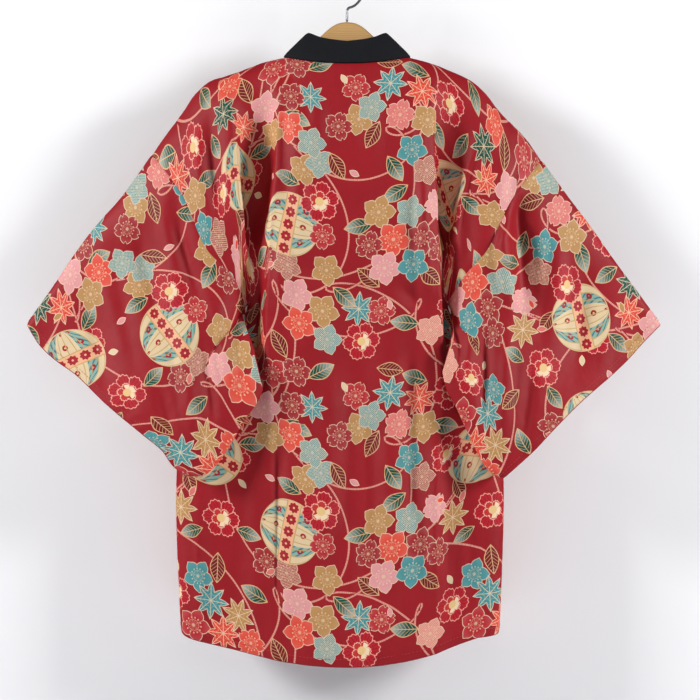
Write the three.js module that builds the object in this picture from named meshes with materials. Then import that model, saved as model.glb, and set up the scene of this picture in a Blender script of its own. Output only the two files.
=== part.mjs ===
// A hanten, the short padded jacket with wide sleeves, hanging on a wooden hanger.
// Millimetres, +Z up. The origin is the top of the hook's inside, where the hanger hangs on its rail.
// The wearer would face +Y, so the jacket's back faces -Y and the wearer's left is on -X.
// Every cloth piece is a grid of points on the middle of its cloth, thickened to a wall.

import * as THREE from 'three';

// Cloth
const WALL = 4;
const SEAM_GAP = 0.3;
const BODY_LENGTH = 830;
const NECK_HALF = 88;
const NECK_DEPTH = 30;
const NECK_DROP = 14;
const BACK_NECK_Z = -124;
const BACK_HEM_Z = -951;
const ARMHOLE = 250;
const SLEEVE_HEIGHT = 330;
const CUFF_HALF_THICK = 8;
const SHOULDER_ROUND = 28;
const SHOULDER_DROP = 10;
const SHOULDER_FADE = 55;
const BACK_DEPTH = 42;
const FRONT_DEPTH = 34;
const NECK_RELIEF = 0.5;
const SIDE_BULGE = 30;
const FRONT_TURN = 2;
const VALLEY_LEAN = 0.22;
const FRONT_SPREAD = 0.85;
const SIDE_WRAP = { from: ARMHOLE, to: 300 };
const SIDE_FULL = { from: 330, to: 560 };
const SLEEVE_SETBACK = 56;

// Shallow creases fade in below the shoulder, and past the two ends of their own line.
const CREASE_FADE = { from: 20, to: 90 };
const CREASE_ENDS = { before: 30, start: 40, finish: 60, past: 30 };

// The corner under each armpit, where the cloth turns fastest
const CALM_PASSES = 8;
const CALM_REACH = 1;

// Collar band
const BAND_THICK = 9;
const BAND_GAP = 1.1;

// Hanger
const HANGER_THICK = 12;
const WIRE = 3.5;
const HOOK_RADIUS = 21;
const HOOK_BOTTOM_Z = -40.3;
const HOOK_BEND = 6;
const HOOK_TURN = 1.47 * Math.PI;
const HOOK_SIDES = 8;
const HOOK_STEPS = 44;

// The upper outline, from the neck point over the shoulder to the cuff, as seen from behind.
const TOP_LINE = {
  left: [
    { out: 88, z: -112 },
    { out: 118, z: -119.5 },
    { out: 140, z: -128 },
    { out: 170, z: -138.5 },
    { out: 186, z: -142.5 },
    { out: 211, z: -162 },
    { out: 225, z: -183 },
    { out: 255, z: -224 },
    { out: 270, z: -246 },
  ],
  right: [
    { out: 88, z: -112 },
    { out: 118, z: -120.5 },
    { out: 140, z: -129 },
    { out: 170, z: -142.5 },
    { out: 193, z: -162 },
    { out: 208, z: -182.5 },
    { out: 248, z: -224 },
    { out: 269, z: -254 },
  ],
};
const SLEEVE_TOP = {
  left: [
    { along: 0, out: 270, z: -246 },
    { along: 80, out: 313, z: -306 },
    { along: 135, out: 349.5, z: -347 },
    { along: 187, out: 380, z: -388 },
    { along: 236, out: 407.5, z: -429.5 },
    { along: 298, out: 444, z: -481 },
  ],
  right: [
    { along: 0, out: 269, z: -254 },
    { along: 65, out: 307, z: -306 },
    { along: 117, out: 338.5, z: -347.5 },
    { along: 167, out: 367, z: -388.5 },
    { along: 218, out: 397.5, z: -430 },
    { along: 282, out: 435, z: -481 },
  ],
};

// The lower edge of each sleeve, from its inner corner to the cuff, and the cuff from top to bottom.
const SLEEVE_BOTTOM = {
  left: [
    { out: 115, z: -570 },
    { out: 126, z: -592 },
    { out: 138, z: -607 },
    { out: 155, z: -637 },
    { out: 168, z: -657 },
    { out: 180, z: -674 },
    { out: 199, z: -687 },
    { out: 219, z: -688 },
  ],
  right: [
    { out: 131, z: -545 },
    { out: 137, z: -571 },
    { out: 148, z: -590 },
    { out: 159, z: -614 },
    { out: 170, z: -638 },
    { out: 184, z: -666 },
    { out: 197, z: -683 },
    { out: 212, z: -691 },
  ],
};
const CUFF = {
  left: [
    { out: 444, z: -481 },
    { out: 426, z: -509 },
    { out: 404, z: -529.5 },
    { out: 374, z: -550 },
    { out: 329, z: -590.5 },
    { out: 277, z: -632 },
    { out: 250, z: -654 },
    { out: 236, z: -674 },
    { out: 219, z: -688 },
  ],
  right: [
    { out: 435, z: -481 },
    { out: 407, z: -509 },
    { out: 388, z: -529.5 },
    { out: 366, z: -549.5 },
    { out: 316, z: -591 },
    { out: 274, z: -632 },
    { out: 254, z: -653 },
    { out: 230, z: -675 },
    { out: 212, z: -691 },
  ],
};

// The armhole seam and, under the armpit, the side seam, by the distance down the cut.
const SIDE_SEAM = {
  left: [
    { down: 0, out: 270, z: -246, back: -34, front: 34 },
    { down: 73, out: 225, z: -306, back: -37, front: 36 },
    { down: 150, out: 192, z: -379, back: -44, front: 36 },
    { down: 200, out: 158, z: -415, back: -38, front: 30 },
    { down: 225, out: 146, z: -436, back: -25, front: 20 },
    { down: 250, out: 138, z: -455, back: -3, front: 3 },
    { down: 300, out: 146, z: -484, back: 4, front: 4 },
    { down: 360, out: 159, z: -519, back: 5, front: 5 },
    { down: 420, out: 173, z: -554, back: 7, front: 7 },
    { down: 470, out: 190, z: -583, back: 9, front: 9 },
    { down: 560, out: 220, z: -636, back: 14, front: 14 },
    { down: 640, out: 224, z: -716, back: 18, front: 18 },
    { down: 830, out: 217, z: -896, back: 22, front: 22 },
  ],
  right: [
    { down: 0, out: 269, z: -254, back: -34, front: 34 },
    { down: 73, out: 225, z: -312, back: -37, front: 36 },
    { down: 150, out: 192, z: -380, back: -44, front: 36 },
    { down: 200, out: 160, z: -417, back: -38, front: 30 },
    { down: 225, out: 148, z: -437, back: -25, front: 20 },
    { down: 250, out: 140, z: -455, back: -3, front: 3 },
    { down: 300, out: 148, z: -484, back: 4, front: 4 },
    { down: 360, out: 161, z: -519, back: 5, front: 5 },
    { down: 420, out: 174, z: -552, back: 7, front: 7 },
    { down: 470, out: 186, z: -580, back: 9, front: 9 },
    { down: 560, out: 201, z: -633, back: 14, front: 14 },
    { down: 640, out: 204, z: -713, back: 18, front: 18 },
    { down: 830, out: 198, z: -902, back: 22, front: 22 },
  ],
};

// The sleeve's open inner edge, from the armpit to the lower inner corner.
const INNER_EDGE = {
  left: [
    { down: 250, out: 142.5, z: -453, back: -7, front: 6 },
    { down: 275, out: 140, z: -480, back: -27, front: -15 },
    { down: 300, out: 129, z: -513, back: -47, front: -35 },
    { down: 318, out: 121, z: -545, back: -58, front: -47 },
    { down: 330, out: 115, z: -570, back: -55, front: -55 },
  ],
  right: [
    { down: 250, out: 144, z: -454, back: -6, front: 6 },
    { down: 275, out: 145, z: -480, back: -25, front: -12 },
    { down: 300, out: 142, z: -504, back: -48, front: -37 },
    { down: 318, out: 136, z: -527, back: -59, front: -49 },
    { down: 330, out: 131, z: -545, back: -56, front: -56 },
  ],
};

// Each panel's deep fold beside the armhole: where the cloth leaves the flat middle (fold),
// where it comes up again (side), and how deep the valley between them is.
const BACK_FOLD = {
  left: [
    { down: 0, foldOut: 108, foldY: -38, foldZ: -117, sideOut: 178, sideY: -36, sideZ: -139, depth: 0 },
    { down: 80, foldOut: 89, foldY: -40, foldZ: -194, sideOut: 161, sideY: -43, sideZ: -216, depth: 20 },
    { down: 150, foldOut: 90, foldY: -43, foldZ: -263, sideOut: 153, sideY: -47, sideZ: -290, depth: 41 },
    { down: 200, foldOut: 96, foldY: -45, foldZ: -312, sideOut: 146, sideY: -46, sideZ: -350, depth: 45 },
    { down: 225, foldOut: 99, foldY: -46, foldZ: -337, sideOut: 143, sideY: -35, sideZ: -393, depth: 26 },
    { down: 250, foldOut: 102, foldY: -46, foldZ: -361, sideOut: 131, sideY: -13, sideZ: -434, depth: 0 },
    { down: 300, foldOut: 106, foldY: -46, foldZ: -410, sideOut: 122, sideY: -6, sideZ: -460, depth: 0 },
    { down: 360, foldOut: 110, foldY: -43, foldZ: -470, sideOut: 123, sideY: -5, sideZ: -505, depth: 0 },
    { down: 420, foldOut: 109, foldY: -40, foldZ: -529, sideOut: 133, sideY: -9, sideZ: -546, depth: 0 },
    { down: 470, foldOut: 105, foldY: -39, foldZ: -578, sideOut: 158, sideY: -22, sideZ: -581, depth: 2 },
    { down: 560, foldOut: 99, foldY: -40, foldZ: -667, sideOut: 194, sideY: -32, sideZ: -648, depth: 7 },
    { down: 640, foldOut: 98, foldY: -41, foldZ: -746, sideOut: 202, sideY: -34, sideZ: -726, depth: 6 },
    { down: 830, foldOut: 98, foldY: -43, foldZ: -941, sideOut: 198, sideY: -36, sideZ: -917, depth: 4 },
  ],
  right: [
    { down: 0, foldOut: 118, foldY: -38, foldZ: -121, sideOut: 214, sideY: -34, sideZ: -190, depth: 0 },
    { down: 80, foldOut: 113, foldY: -44, foldZ: -199, sideOut: 178, sideY: -36, sideZ: -262, depth: 16 },
    { down: 150, foldOut: 117, foldY: -47, foldZ: -267, sideOut: 157, sideY: -43, sideZ: -340, depth: 40 },
    { down: 200, foldOut: 120, foldY: -48, foldZ: -316, sideOut: 151, sideY: -45, sideZ: -372, depth: 40 },
    { down: 225, foldOut: 121, foldY: -48, foldZ: -341, sideOut: 147, sideY: -35, sideZ: -399, depth: 23 },
    { down: 250, foldOut: 123, foldY: -48, foldZ: -365, sideOut: 133, sideY: -13, sideZ: -434, depth: 0 },
    { down: 300, foldOut: 126, foldY: -46, foldZ: -414, sideOut: 130, sideY: -6, sideZ: -466, depth: 0 },
    { down: 360, foldOut: 129, foldY: -42, foldZ: -473, sideOut: 134, sideY: -5, sideZ: -506, depth: 0 },
    { down: 420, foldOut: 130, foldY: -39, foldZ: -532, sideOut: 147, sideY: -11, sideZ: -547, depth: 0 },
    { down: 470, foldOut: 130, foldY: -38, foldZ: -581, sideOut: 168, sideY: -24, sideZ: -581, depth: 0 },
    { down: 560, foldOut: 125, foldY: -40, foldZ: -668, sideOut: 180, sideY: -32, sideZ: -646, depth: 4 },
    { down: 640, foldOut: 122, foldY: -42, foldZ: -746, sideOut: 184, sideY: -34, sideZ: -722, depth: 4 },
    { down: 830, foldOut: 122, foldY: -44, foldZ: -932, sideOut: 180, sideY: -36, sideZ: -911, depth: 4 },
  ],
};
const FRONT_FOLD = [
  { down: 0, foldOut: 112, foldY: 36, foldZ: -118, sideOut: 214, sideY: 34, sideZ: -190, depth: 0 },
  { down: 80, foldOut: 104, foldY: 38, foldZ: -195, sideOut: 186, sideY: 37, sideZ: -262, depth: 10 },
  { down: 150, foldOut: 105, foldY: 40, foldZ: -266, sideOut: 166, sideY: 38, sideZ: -338, depth: 18 },
  { down: 200, foldOut: 107, foldY: 40, foldZ: -316, sideOut: 152, sideY: 33, sideZ: -392, depth: 12 },
  { down: 225, foldOut: 108, foldY: 40, foldZ: -341, sideOut: 143, sideY: 23, sideZ: -416, depth: 3 },
  { down: 250, foldOut: 110, foldY: 40, foldZ: -365, sideOut: 132, sideY: 15, sideZ: -436, depth: 0 },
  { down: 300, foldOut: 112, foldY: 39, foldZ: -414, sideOut: 126, sideY: 14, sideZ: -466, depth: 0 },
  { down: 360, foldOut: 116, foldY: 37, foldZ: -473, sideOut: 132, sideY: 15, sideZ: -504, depth: 0 },
  { down: 420, foldOut: 120, foldY: 36, foldZ: -532, sideOut: 148, sideY: 19, sideZ: -546, depth: 0 },
  { down: 470, foldOut: 124, foldY: 36, foldZ: -581, sideOut: 166, sideY: 25, sideZ: -577, depth: 2 },
  { down: 560, foldOut: 126, foldY: 36, foldZ: -668, sideOut: 184, sideY: 34, sideZ: -642, depth: 5 },
  { down: 640, foldOut: 126, foldY: 36, foldZ: -746, sideOut: 186, sideY: 36, sideZ: -722, depth: 6 },
  { down: 830, foldOut: 126, foldY: 36, foldZ: -927, sideOut: 180, sideY: 37, sideZ: -906, depth: 6 },
];

// The front opening's edge, where the collar band is sewn on, and the band's own reach from that seam.
const FRONT_EDGE = [
  { down: 0, out: 88, z: -112 },
  { down: 40, out: 86, z: -145 },
  { down: 100, out: 79, z: -205 },
  { down: 200, out: 70, z: -307 },
  { down: 320, out: 64, z: -428 },
  { down: 450, out: 62, z: -559 },
  { down: 830, out: 62, z: -943 },
];
const NECK_BAND = [
  { turn: 0, out: 0, y: 16, z: 33 },
  { turn: 25, out: -4, y: 15, z: 36 },
  { turn: 45, out: -12, y: 11, z: 38.5 },
  { turn: 65, out: -24, y: 5, z: 34 },
  { turn: 90, out: -34, y: 1, z: 25 },
];
const FRONT_BAND = [
  { down: 0, out: -34, y: 1, z: 25 },
  { down: 20, out: -40, y: 2, z: 14 },
  { down: 50, out: -45, y: 4, z: 5 },
  { down: 100, out: -48, y: 4, z: 0 },
  { down: 200, out: -50, y: 2, z: 0 },
  { down: 830, out: -50, y: 0, z: 0 },
];

// Shallow folds that cross a panel: a line from top to bottom, half as wide each side as given.
// Plus goes in, towards the front, and minus stands out, towards the back.
const BACK_CREASES = [
  { topX: 210, topZ: -190, endX: 222, endZ: -480, width: 30, rise: -5 },
  { topX: 236, topZ: -205, endX: 254, endZ: -470, width: 32, rise: 6 },
  { topX: 60, topZ: -300, endX: 52, endZ: -930, width: 42, rise: -4 },
  { topX: 18, topZ: -420, endX: 2, endZ: -940, width: 46, rise: 5 },
  { topX: -52, topZ: -480, endX: -60, endZ: -935, width: 44, rise: -4 },
  { topX: 150, topZ: -690, endX: 158, endZ: -905, width: 30, rise: -4 },
  { topX: -143, topZ: -560, endX: -150, endZ: -800, width: 18, rise: 7 },
  { topX: -176, topZ: -600, endX: -182, endZ: -880, width: 22, rise: -4 },
  { topX: -300, topZ: -400, endX: -262, endZ: -600, width: 40, rise: -4 },
  { topX: 330, topZ: -420, endX: 290, endZ: -570, width: 40, rise: 4 },
];
const FRONT_CREASES = [
  { topX: 150, topZ: -640, endX: 156, endZ: -905, width: 28, rise: 5 },
  { topX: 96, topZ: -330, endX: 92, endZ: -900, width: 22, rise: -5 },
  { topX: -150, topZ: -620, endX: -160, endZ: -890, width: 30, rise: 5 },
  { topX: -94, topZ: -360, endX: -97, endZ: -920, width: 24, rise: -4 },
];

// Grid lines, as distances down the cut
const UPPER_ROWS = [0, 6, 14, 26, 45, 70, 100, 130, 160, 188, 212, 232, 250];
const LOWER_ROWS = [275, 305, 340, 380, 420, 460, 510, 560, 620, 690, 760, 830];
const EDGE_ROWS = [265, 283, 300, 314, 324];
const NECK_STEPS = 5;
const YOKE_STEPS = 2;
const VALLEY_STEPS = 8;
const SIDE_STEPS = 4;
const FRONT_PLAIN_STEPS = 3;
const FRONT_VALLEY_STEPS = 5;
const SLEEVE_STEPS = [0, 0.03, 0.08, 0.15, 0.23, 0.32, 0.42, 0.52, 0.62, 0.72, 0.82, 0.92, 1];

const MATERIALS = {
  cloth: { color: 0xa8202b, roughness: 0.75, metalness: 0 },
  band: { color: 0x1e2024, roughness: 0.85, metalness: 0 },
  wood: { color: 0xd9b074, roughness: 0.5, metalness: 0 },
  wire: { color: 0x9a9a98, roughness: 0.3, metalness: 1 },
};

const clamp = (v, low, high) => Math.min(high, Math.max(low, v));
const mix = (a, b, t) => a + (b - a) * t;
const smooth = (low, high, v) => {
  const t = clamp((v - low) / (high - low), 0, 1);
  return t * t * (3 - 2 * t);
};

// A smooth curve through one column of a table, with no overshoot between rows.
function column(table, key, name) {
  const xs = table.map((row) => row[key]);
  const ys = table.map((row) => row[name]);
  const n = xs.length;
  const slope = (i) => (ys[i + 1] - ys[i]) / (xs[i + 1] - xs[i]);
  const tangents = xs.map((_, i) => {
    if (i === 0) return slope(0);
    if (i === n - 1) return slope(n - 2);
    const [a, b] = [slope(i - 1), slope(i)];
    return a * b <= 0 ? 0 : (2 * a * b) / (a + b);
  });
  return (at) => {
    const v = clamp(at, xs[0], xs[n - 1]);
    let i = 0;
    while (i < n - 2 && v > xs[i + 1]) i += 1;
    const h = xs[i + 1] - xs[i];
    const t = (v - xs[i]) / h;
    const a = ys[i] * (1 + 2 * t) + h * tangents[i] * t;
    const b = ys[i + 1] * (3 - 2 * t) - h * tangents[i + 1] * (1 - t);
    return a * (1 - t) * (1 - t) + b * t * t;
  };
}

// All of a table's columns as one function of its key.
function lookUp(table, key) {
  const names = Object.keys(table[0]).filter((name) => name !== key);
  const columns = names.map((name) => column(table, key, name));
  return (at) => Object.fromEntries(names.map((name, i) => [name, columns[i](at)]));
}

// A line of points, followed by the share of its length.
function followed(points) {
  const lengths = [0];
  for (let i = 1; i < points.length; i += 1) {
    const [a, b] = [points[i - 1], points[i]];
    lengths.push(lengths[i - 1] + Math.hypot(b.out - a.out, b.z - a.z));
  }
  const total = lengths[lengths.length - 1];
  const rows = points.map((p, i) => ({ share: lengths[i] / total, out: p.out, z: p.z }));
  return lookUp(rows, 'share');
}

// A valley of four equal arcs, with straight walls where it is deeper than half its width.
function valley(share, width, depth) {
  const turn = Math.min(2 * Math.atan((2 * depth) / width), Math.PI / 2);
  if (turn < 1e-4) return { across: share, deep: 0 };
  const radius = width / (4 * Math.sin(turn));
  const wall = Math.max(0, depth - 2 * radius);
  const total = 4 * radius * turn + 2 * (turn < Math.PI / 2 ? 0 : wall);
  const half = share <= 0.5;
  let s = (half ? share : 1 - share) * total;
  const arc = radius * turn;
  let across;
  let deep;
  if (s < arc) {
    across = radius * Math.sin(s / radius);
    deep = radius * (1 - Math.cos(s / radius));
  } else if (turn === Math.PI / 2 && s < arc + wall) {
    across = radius;
    deep = radius + s - arc;
  } else {
    s = total / 2 - s;
    across = width / 2 - radius * Math.sin(s / radius);
    deep = depth - radius * (1 - Math.cos(s / radius));
  }
  return { across: (half ? across : width - across) / width, deep };
}

// How far the cloth has come from the shoulder line towards its full depth.
const rounded = (down) => 1 - Math.exp(-down / SHOULDER_ROUND);
// The height lost in turning over the shoulder, with the full length kept at the hem.
const fallen = (down) => {
  const scale = BODY_LENGTH / (Math.hypot(BODY_LENGTH, SHOULDER_DROP) - SHOULDER_DROP);
  return (Math.hypot(down, SHOULDER_DROP) - SHOULDER_DROP) * scale;
};
const sign = (side) => (side === 'left' ? -1 : 1);

// The seam's place halfway between the two sides: the fronts' folds shift with the seam's own place.
const usualSeam = column(SIDE_SEAM.right.map((row, i) => ({
  down: row.down,
  out: (row.out + SIDE_SEAM.left[i].out) / 2,
})), 'down', 'out');

// The neck opening at the back, by the turn round it in degrees from the centre.
function neckPoint(turn) {
  const angle = THREE.MathUtils.degToRad(turn);
  const out = NECK_HALF * Math.sin(angle);
  const rise = NECK_DROP - 2;
  return { out, y: -NECK_DEPTH * Math.cos(angle), z: BACK_NECK_Z + rise * (out / NECK_HALF) ** 2.2 };
}

function creased(point, creases, fade = 1) {
  let shift = 0;
  for (const c of creases) {
    const [dx, dz] = [c.endX - c.topX, c.endZ - c.topZ];
    const length = Math.hypot(dx, dz);
    const [px, pz] = [point.x - c.topX, point.z - c.topZ];
    const along = (px * dx + pz * dz) / length;
    const beside = Math.abs(px * dz - pz * dx) / length;
    const { before, start, finish, past } = CREASE_ENDS;
    const ends = smooth(-before, start, along) * (1 - smooth(length - finish, length + past, along));
    if (beside < c.width) shift += c.rise * ends * (0.5 + 0.5 * Math.cos((Math.PI * beside) / c.width));
  }
  point.y += shift * fade;
  return point;
}

// One row of a body panel, as a function of the station: 0 to 1 over the plain middle,
// 1 to 2 over the valley and 2 to 3 out to the seam.
function panelRow(side, down, layer) {
  const isBack = layer === 'back';
  const fold = lookUp(isBack ? BACK_FOLD[side] : FRONT_FOLD, 'down');
  const here = fold(down);
  const heights = fold(fallen(down));
  const seam = lookUp(SIDE_SEAM[side], 'down')(down);
  const round = rounded(down);
  const lean = isBack ? -VALLEY_LEAN * sign(side) : 0;
  const deepSign = isBack ? 1 : -1;
  const spread = isBack ? 0 : FRONT_SPREAD * (seam.out - usualSeam(down));
  const a = { out: here.foldOut, y: here.foldY, z: heights.foldZ };
  const b = { out: here.sideOut + spread, y: here.sideY, z: heights.sideZ };
  const s = { out: seam.out, y: isBack ? seam.back : seam.front, z: seam.z };
  const wrap = smooth(SIDE_WRAP.from, SIDE_WRAP.to, down);
  const bulge = isBack ? SIDE_BULGE * smooth(SIDE_FULL.from, SIDE_FULL.to, down) : -FRONT_TURN;
  const k = {
    out: mix((b.out + s.out) / 2, s.out + bulge, wrap),
    y: mix((b.y + s.y) / 2, b.y, wrap),
    z: (b.z + s.z) / 2,
  };
  const flat = down >= ARMHOLE ? 1 : round;
  return (station) => {
    if (station < 1) return { a };
    if (station <= 2) {
      const v = valley(station - 1, b.out - a.out, here.depth);
      const turned = v.deep * round;
      return {
        out: mix(a.out, b.out, v.across) + lean * turned * deepSign,
        y: (mix(a.y, b.y, v.across) + deepSign * v.deep) * round,
        z: mix(a.z, b.z, v.across),
      };
    }
    const w = station - 2;
    const bezier = (n) => b[n] * (1 - w) ** 2 + 2 * w * (1 - w) * k[n] + s[n] * w * w;
    return { out: bezier('out'), y: bezier('y') * flat, z: bezier('z') };
  };
}

// The height of the upper outline over a place on the shoulder.
const shoulderHeight = {
  left: column(TOP_LINE.left, 'out', 'z'),
  right: column(TOP_LINE.right, 'out', 'z'),
};

const rows = [...UPPER_ROWS, ...LOWER_ROWS];
const evenly = (from, to, steps) => {
  return Array.from({ length: steps + 1 }, (_, i) => mix(from, to, i / steps));
};

// How much of the shallow creases a body panel takes: none in its valley or at its outer seam.
function creaseShare(down, station) {
  if (station > 1 && station < 2) return 0;
  return smooth(CREASE_FADE.from, CREASE_FADE.to, down) * (1 - smooth(2.6, 3, station));
}

// Half of the back, from the centre out to the armhole or side seam.
function backHalf(side) {
  const stations = [
    ...evenly(0, 1, NECK_STEPS + YOKE_STEPS).slice(0, -1),
    ...evenly(1, 2, VALLEY_STEPS).slice(0, -1),
    ...evenly(2, 3, SIDE_STEPS),
  ];
  const top = panelRow(side, 0, 'back');
  const topFold = top(0).a;
  const neckShare = NECK_STEPS / (NECK_STEPS + YOKE_STEPS);
  const topPlace = (station) => {
    if (station <= neckShare) return neckPoint((90 * station) / neckShare);
    const t = (station - neckShare) / (1 - neckShare);
    const out = station < 1 ? mix(NECK_HALF, topFold.out, t) : top(station).out;
    return { out, y: 0, z: shoulderHeight[side](out) };
  };
  return rows.map((down) => {
    const row = panelRow(side, down, 'back');
    const round = rounded(down);
    const early = Math.exp(-down / SHOULDER_FADE);
    return stations.map((station) => {
      const start = topPlace(station);
      let p;
      if (station < 1) {
        const { a } = row(0);
        const centreZ = mix(BACK_NECK_Z, BACK_HEM_Z, fallen(down) / BODY_LENGTH);
        const even = a.out * station;
        const out = mix(even, (start.out * a.out) / topFold.out, early);
        const share = out / a.out;
        const y = mix(-BACK_DEPTH, a.y, smooth(0, 1, share)) * round;
        p = { out, y, z: mix(centreZ, a.z, share * share) };
      } else p = row(station);
      p = { out: p.out, y: p.y + start.y * (1 - round), z: p.z };
      const plain = station < 1
        ? mix(BACK_NECK_Z, topFold.z, (start.out / topFold.out) ** 2)
        : top(station).z;
      p.z += (start.z - plain) * early;
      const point = new THREE.Vector3(sign(side) * p.out, p.y, p.z);
      return creased(point, BACK_CREASES, creaseShare(down, station));
    });
  });
}

function backGrid() {
  const left = backHalf('left');
  const right = backHalf('right');
  return rows.map((_, i) => [...left[i].slice(1).reverse(), ...right[i]]);
}

// One front panel, from the opening's edge out to the armhole or side seam.
function frontGrid(side) {
  const stations = [
    ...evenly(0, 1, FRONT_PLAIN_STEPS).slice(0, -1),
    ...evenly(1, 2, FRONT_VALLEY_STEPS).slice(0, -1),
    ...evenly(2, 3, SIDE_STEPS),
  ];
  const edge = lookUp(FRONT_EDGE, 'down');
  const top = panelRow(side, 0, 'front');
  const topFold = top(0).a;
  return rows.map((down) => {
    const row = panelRow(side, down, 'front');
    const round = rounded(down);
    const early = Math.exp(-down / SHOULDER_FADE);
    return stations.map((station) => {
      const opening = edge(down);
      let p;
      if (station < 1) {
        const { a } = row(0);
        const z = edge(fallen(down)).z;
        p = {
          out: mix(opening.out, a.out, station),
          y: mix(FRONT_DEPTH, a.y, smooth(0, 1, station)) * round,
          z: mix(z, a.z, station),
        };
      } else p = row(station);
      const topOut = station < 1 ? mix(NECK_HALF, topFold.out, station) : top(station).out;
      const plain = station < 1 ? mix(FRONT_EDGE[0].z, topFold.z, station) : top(station).z;
      const z = p.z + (shoulderHeight[side](topOut) - plain) * early;
      const point = new THREE.Vector3(sign(side) * p.out, p.y, z);
      return creased(point, FRONT_CREASES, creaseShare(down, station));
    });
  });
}

// A sleeve, as rings round it from the armhole to the cuff. A ring runs from the top fold
// down the back layer to the lower edge and up the front layer.
const sleeveRows = [...UPPER_ROWS, ...EDGE_ROWS];
function sleeveGrid(side) {
  const seam = lookUp(SIDE_SEAM[side], 'down');
  const inner = lookUp(INNER_EDGE[side], 'down');
  const top = followed(SLEEVE_TOP[side]);
  const bottom = followed(SLEEVE_BOTTOM[side]);
  const cuff = followed(CUFF[side]);
  const innerAt = (down, layer) => {
    if (down < ARMHOLE) {
      const s = seam(down);
      return { out: s.out, y: s[layer] * rounded(down), z: s.z };
    }
    const e = inner(down);
    return { out: e.out, y: e[layer], z: e.z };
  };
  const place = (down, along, layer) => {
    const share = down / SLEEVE_HEIGHT;
    const i = innerAt(down, layer);
    const [i0, i1] = [innerAt(0, layer), innerAt(SLEEVE_HEIGHT, layer)];
    const [c, c0, c1] = [cuff(share), cuff(0), cuff(1)];
    const [t, b] = [top(along), bottom(along)];
    const coons = (n) => mix(i[n], c[n], along) + mix(t[n], b[n], share)
      - mix(mix(i0[n], c0[n], along), mix(i1[n], c1[n], along), share);
    const rim = Math.min(down, SLEEVE_HEIGHT - down) / CUFF_HALF_THICK;
    const thick = CUFF_HALF_THICK * Math.sqrt(1 - (1 - clamp(rim, 0, 1)) ** 2);
    const middle = -SLEEVE_SETBACK * smooth(0, 0.85, share);
    const cuffY = middle + (layer === 'back' ? -thick : thick);
    const reach = 1 - (1 - along) ** 4;
    const y = mix(i.y, cuffY, down < 100 ? mix(along, reach, down / 100) : reach);
    const point = new THREE.Vector3(sign(side) * coons('out'), y, coons('z'));
    const { from, to } = CREASE_FADE;
    const fade = smooth(from, to, down) * (1 - smooth(SLEEVE_HEIGHT - to / 2, SLEEVE_HEIGHT, down));
    return creased(point, BACK_CREASES, fade * smooth(0, 0.06, along));
  };
  return SLEEVE_STEPS.map((along) => {
    const backLayer = sleeveRows.map((down) => place(down, along, 'back'));
    const turn = place(SLEEVE_HEIGHT, along, 'back');
    const frontLayer = sleeveRows.slice(1).reverse().map((down) => place(down, along, 'front'));
    return [...backLayer, turn, ...frontLayer];
  });
}

// The normal at each point of a grid. A ring grid closes on itself along its rows.
function gridNormals(grid, ring, flip) {
  const last = grid.length - 1;
  return grid.map((line, i) => line.map((_, j) => {
    const n = line.length;
    const before = ring ? (j + n - 1) % n : Math.max(0, j - 1);
    const after = ring ? (j + 1) % n : Math.min(n - 1, j + 1);
    const along = new THREE.Vector3().subVectors(grid[Math.min(last, i + 1)][j], grid[Math.max(0, i - 1)][j]);
    const across = new THREE.Vector3().subVectors(line[after], line[before]);
    const normal = new THREE.Vector3().crossVectors(across, along).normalize();
    return flip ? normal.negate() : normal;
  }));
}

// Two panels that meet along a seam share one normal at each of its points.
function shareNormals(pairs) {
  for (const [first, second] of pairs) {
    const sum = new THREE.Vector3().addVectors(first, second).normalize();
    first.copy(sum);
    second.copy(sum);
  }
}

// Round a panel's corner each normal takes the mean of its neighbours, a few times over.
function calm(lines, row, edge, inward) {
  const width = lines[0].length;
  for (let pass = 0; pass < CALM_PASSES; pass += 1) {
    for (let i = row - CALM_REACH; i <= row + CALM_REACH; i += 1) {
      for (let step = 0; step <= CALM_REACH + 1; step += 1) {
        const j = edge + step * inward;
        if (step === 0 && i !== row) continue;
        const around = [[i - 1, j], [i + 1, j], [i, j - 1], [i, j + 1]];
        const sum = lines[i][j].clone();
        around.filter(([, at]) => at >= 0 && at < width).forEach(([a, b]) => sum.add(lines[a][b]));
        lines[i][j].copy(sum.normalize());
      }
    }
  }
}

// Draws a seam's points back into their own panel, square to the seam and along the cloth.
function drawBack(points, inner, normals, gap) {
  const moved = points.map((point, i) => {
    const tangent = new THREE.Vector3().subVectors(
      points[Math.min(points.length - 1, i + 1)],
      points[Math.max(0, i - 1)],
    );
    const away = new THREE.Vector3().crossVectors(normals[i], tangent).normalize();
    if (away.dot(new THREE.Vector3().subVectors(inner[i], point)) < 0) away.negate();
    return away.multiplyScalar(gap);
  });
  moved.forEach((step, i) => points[i].add(step));
}

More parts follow.
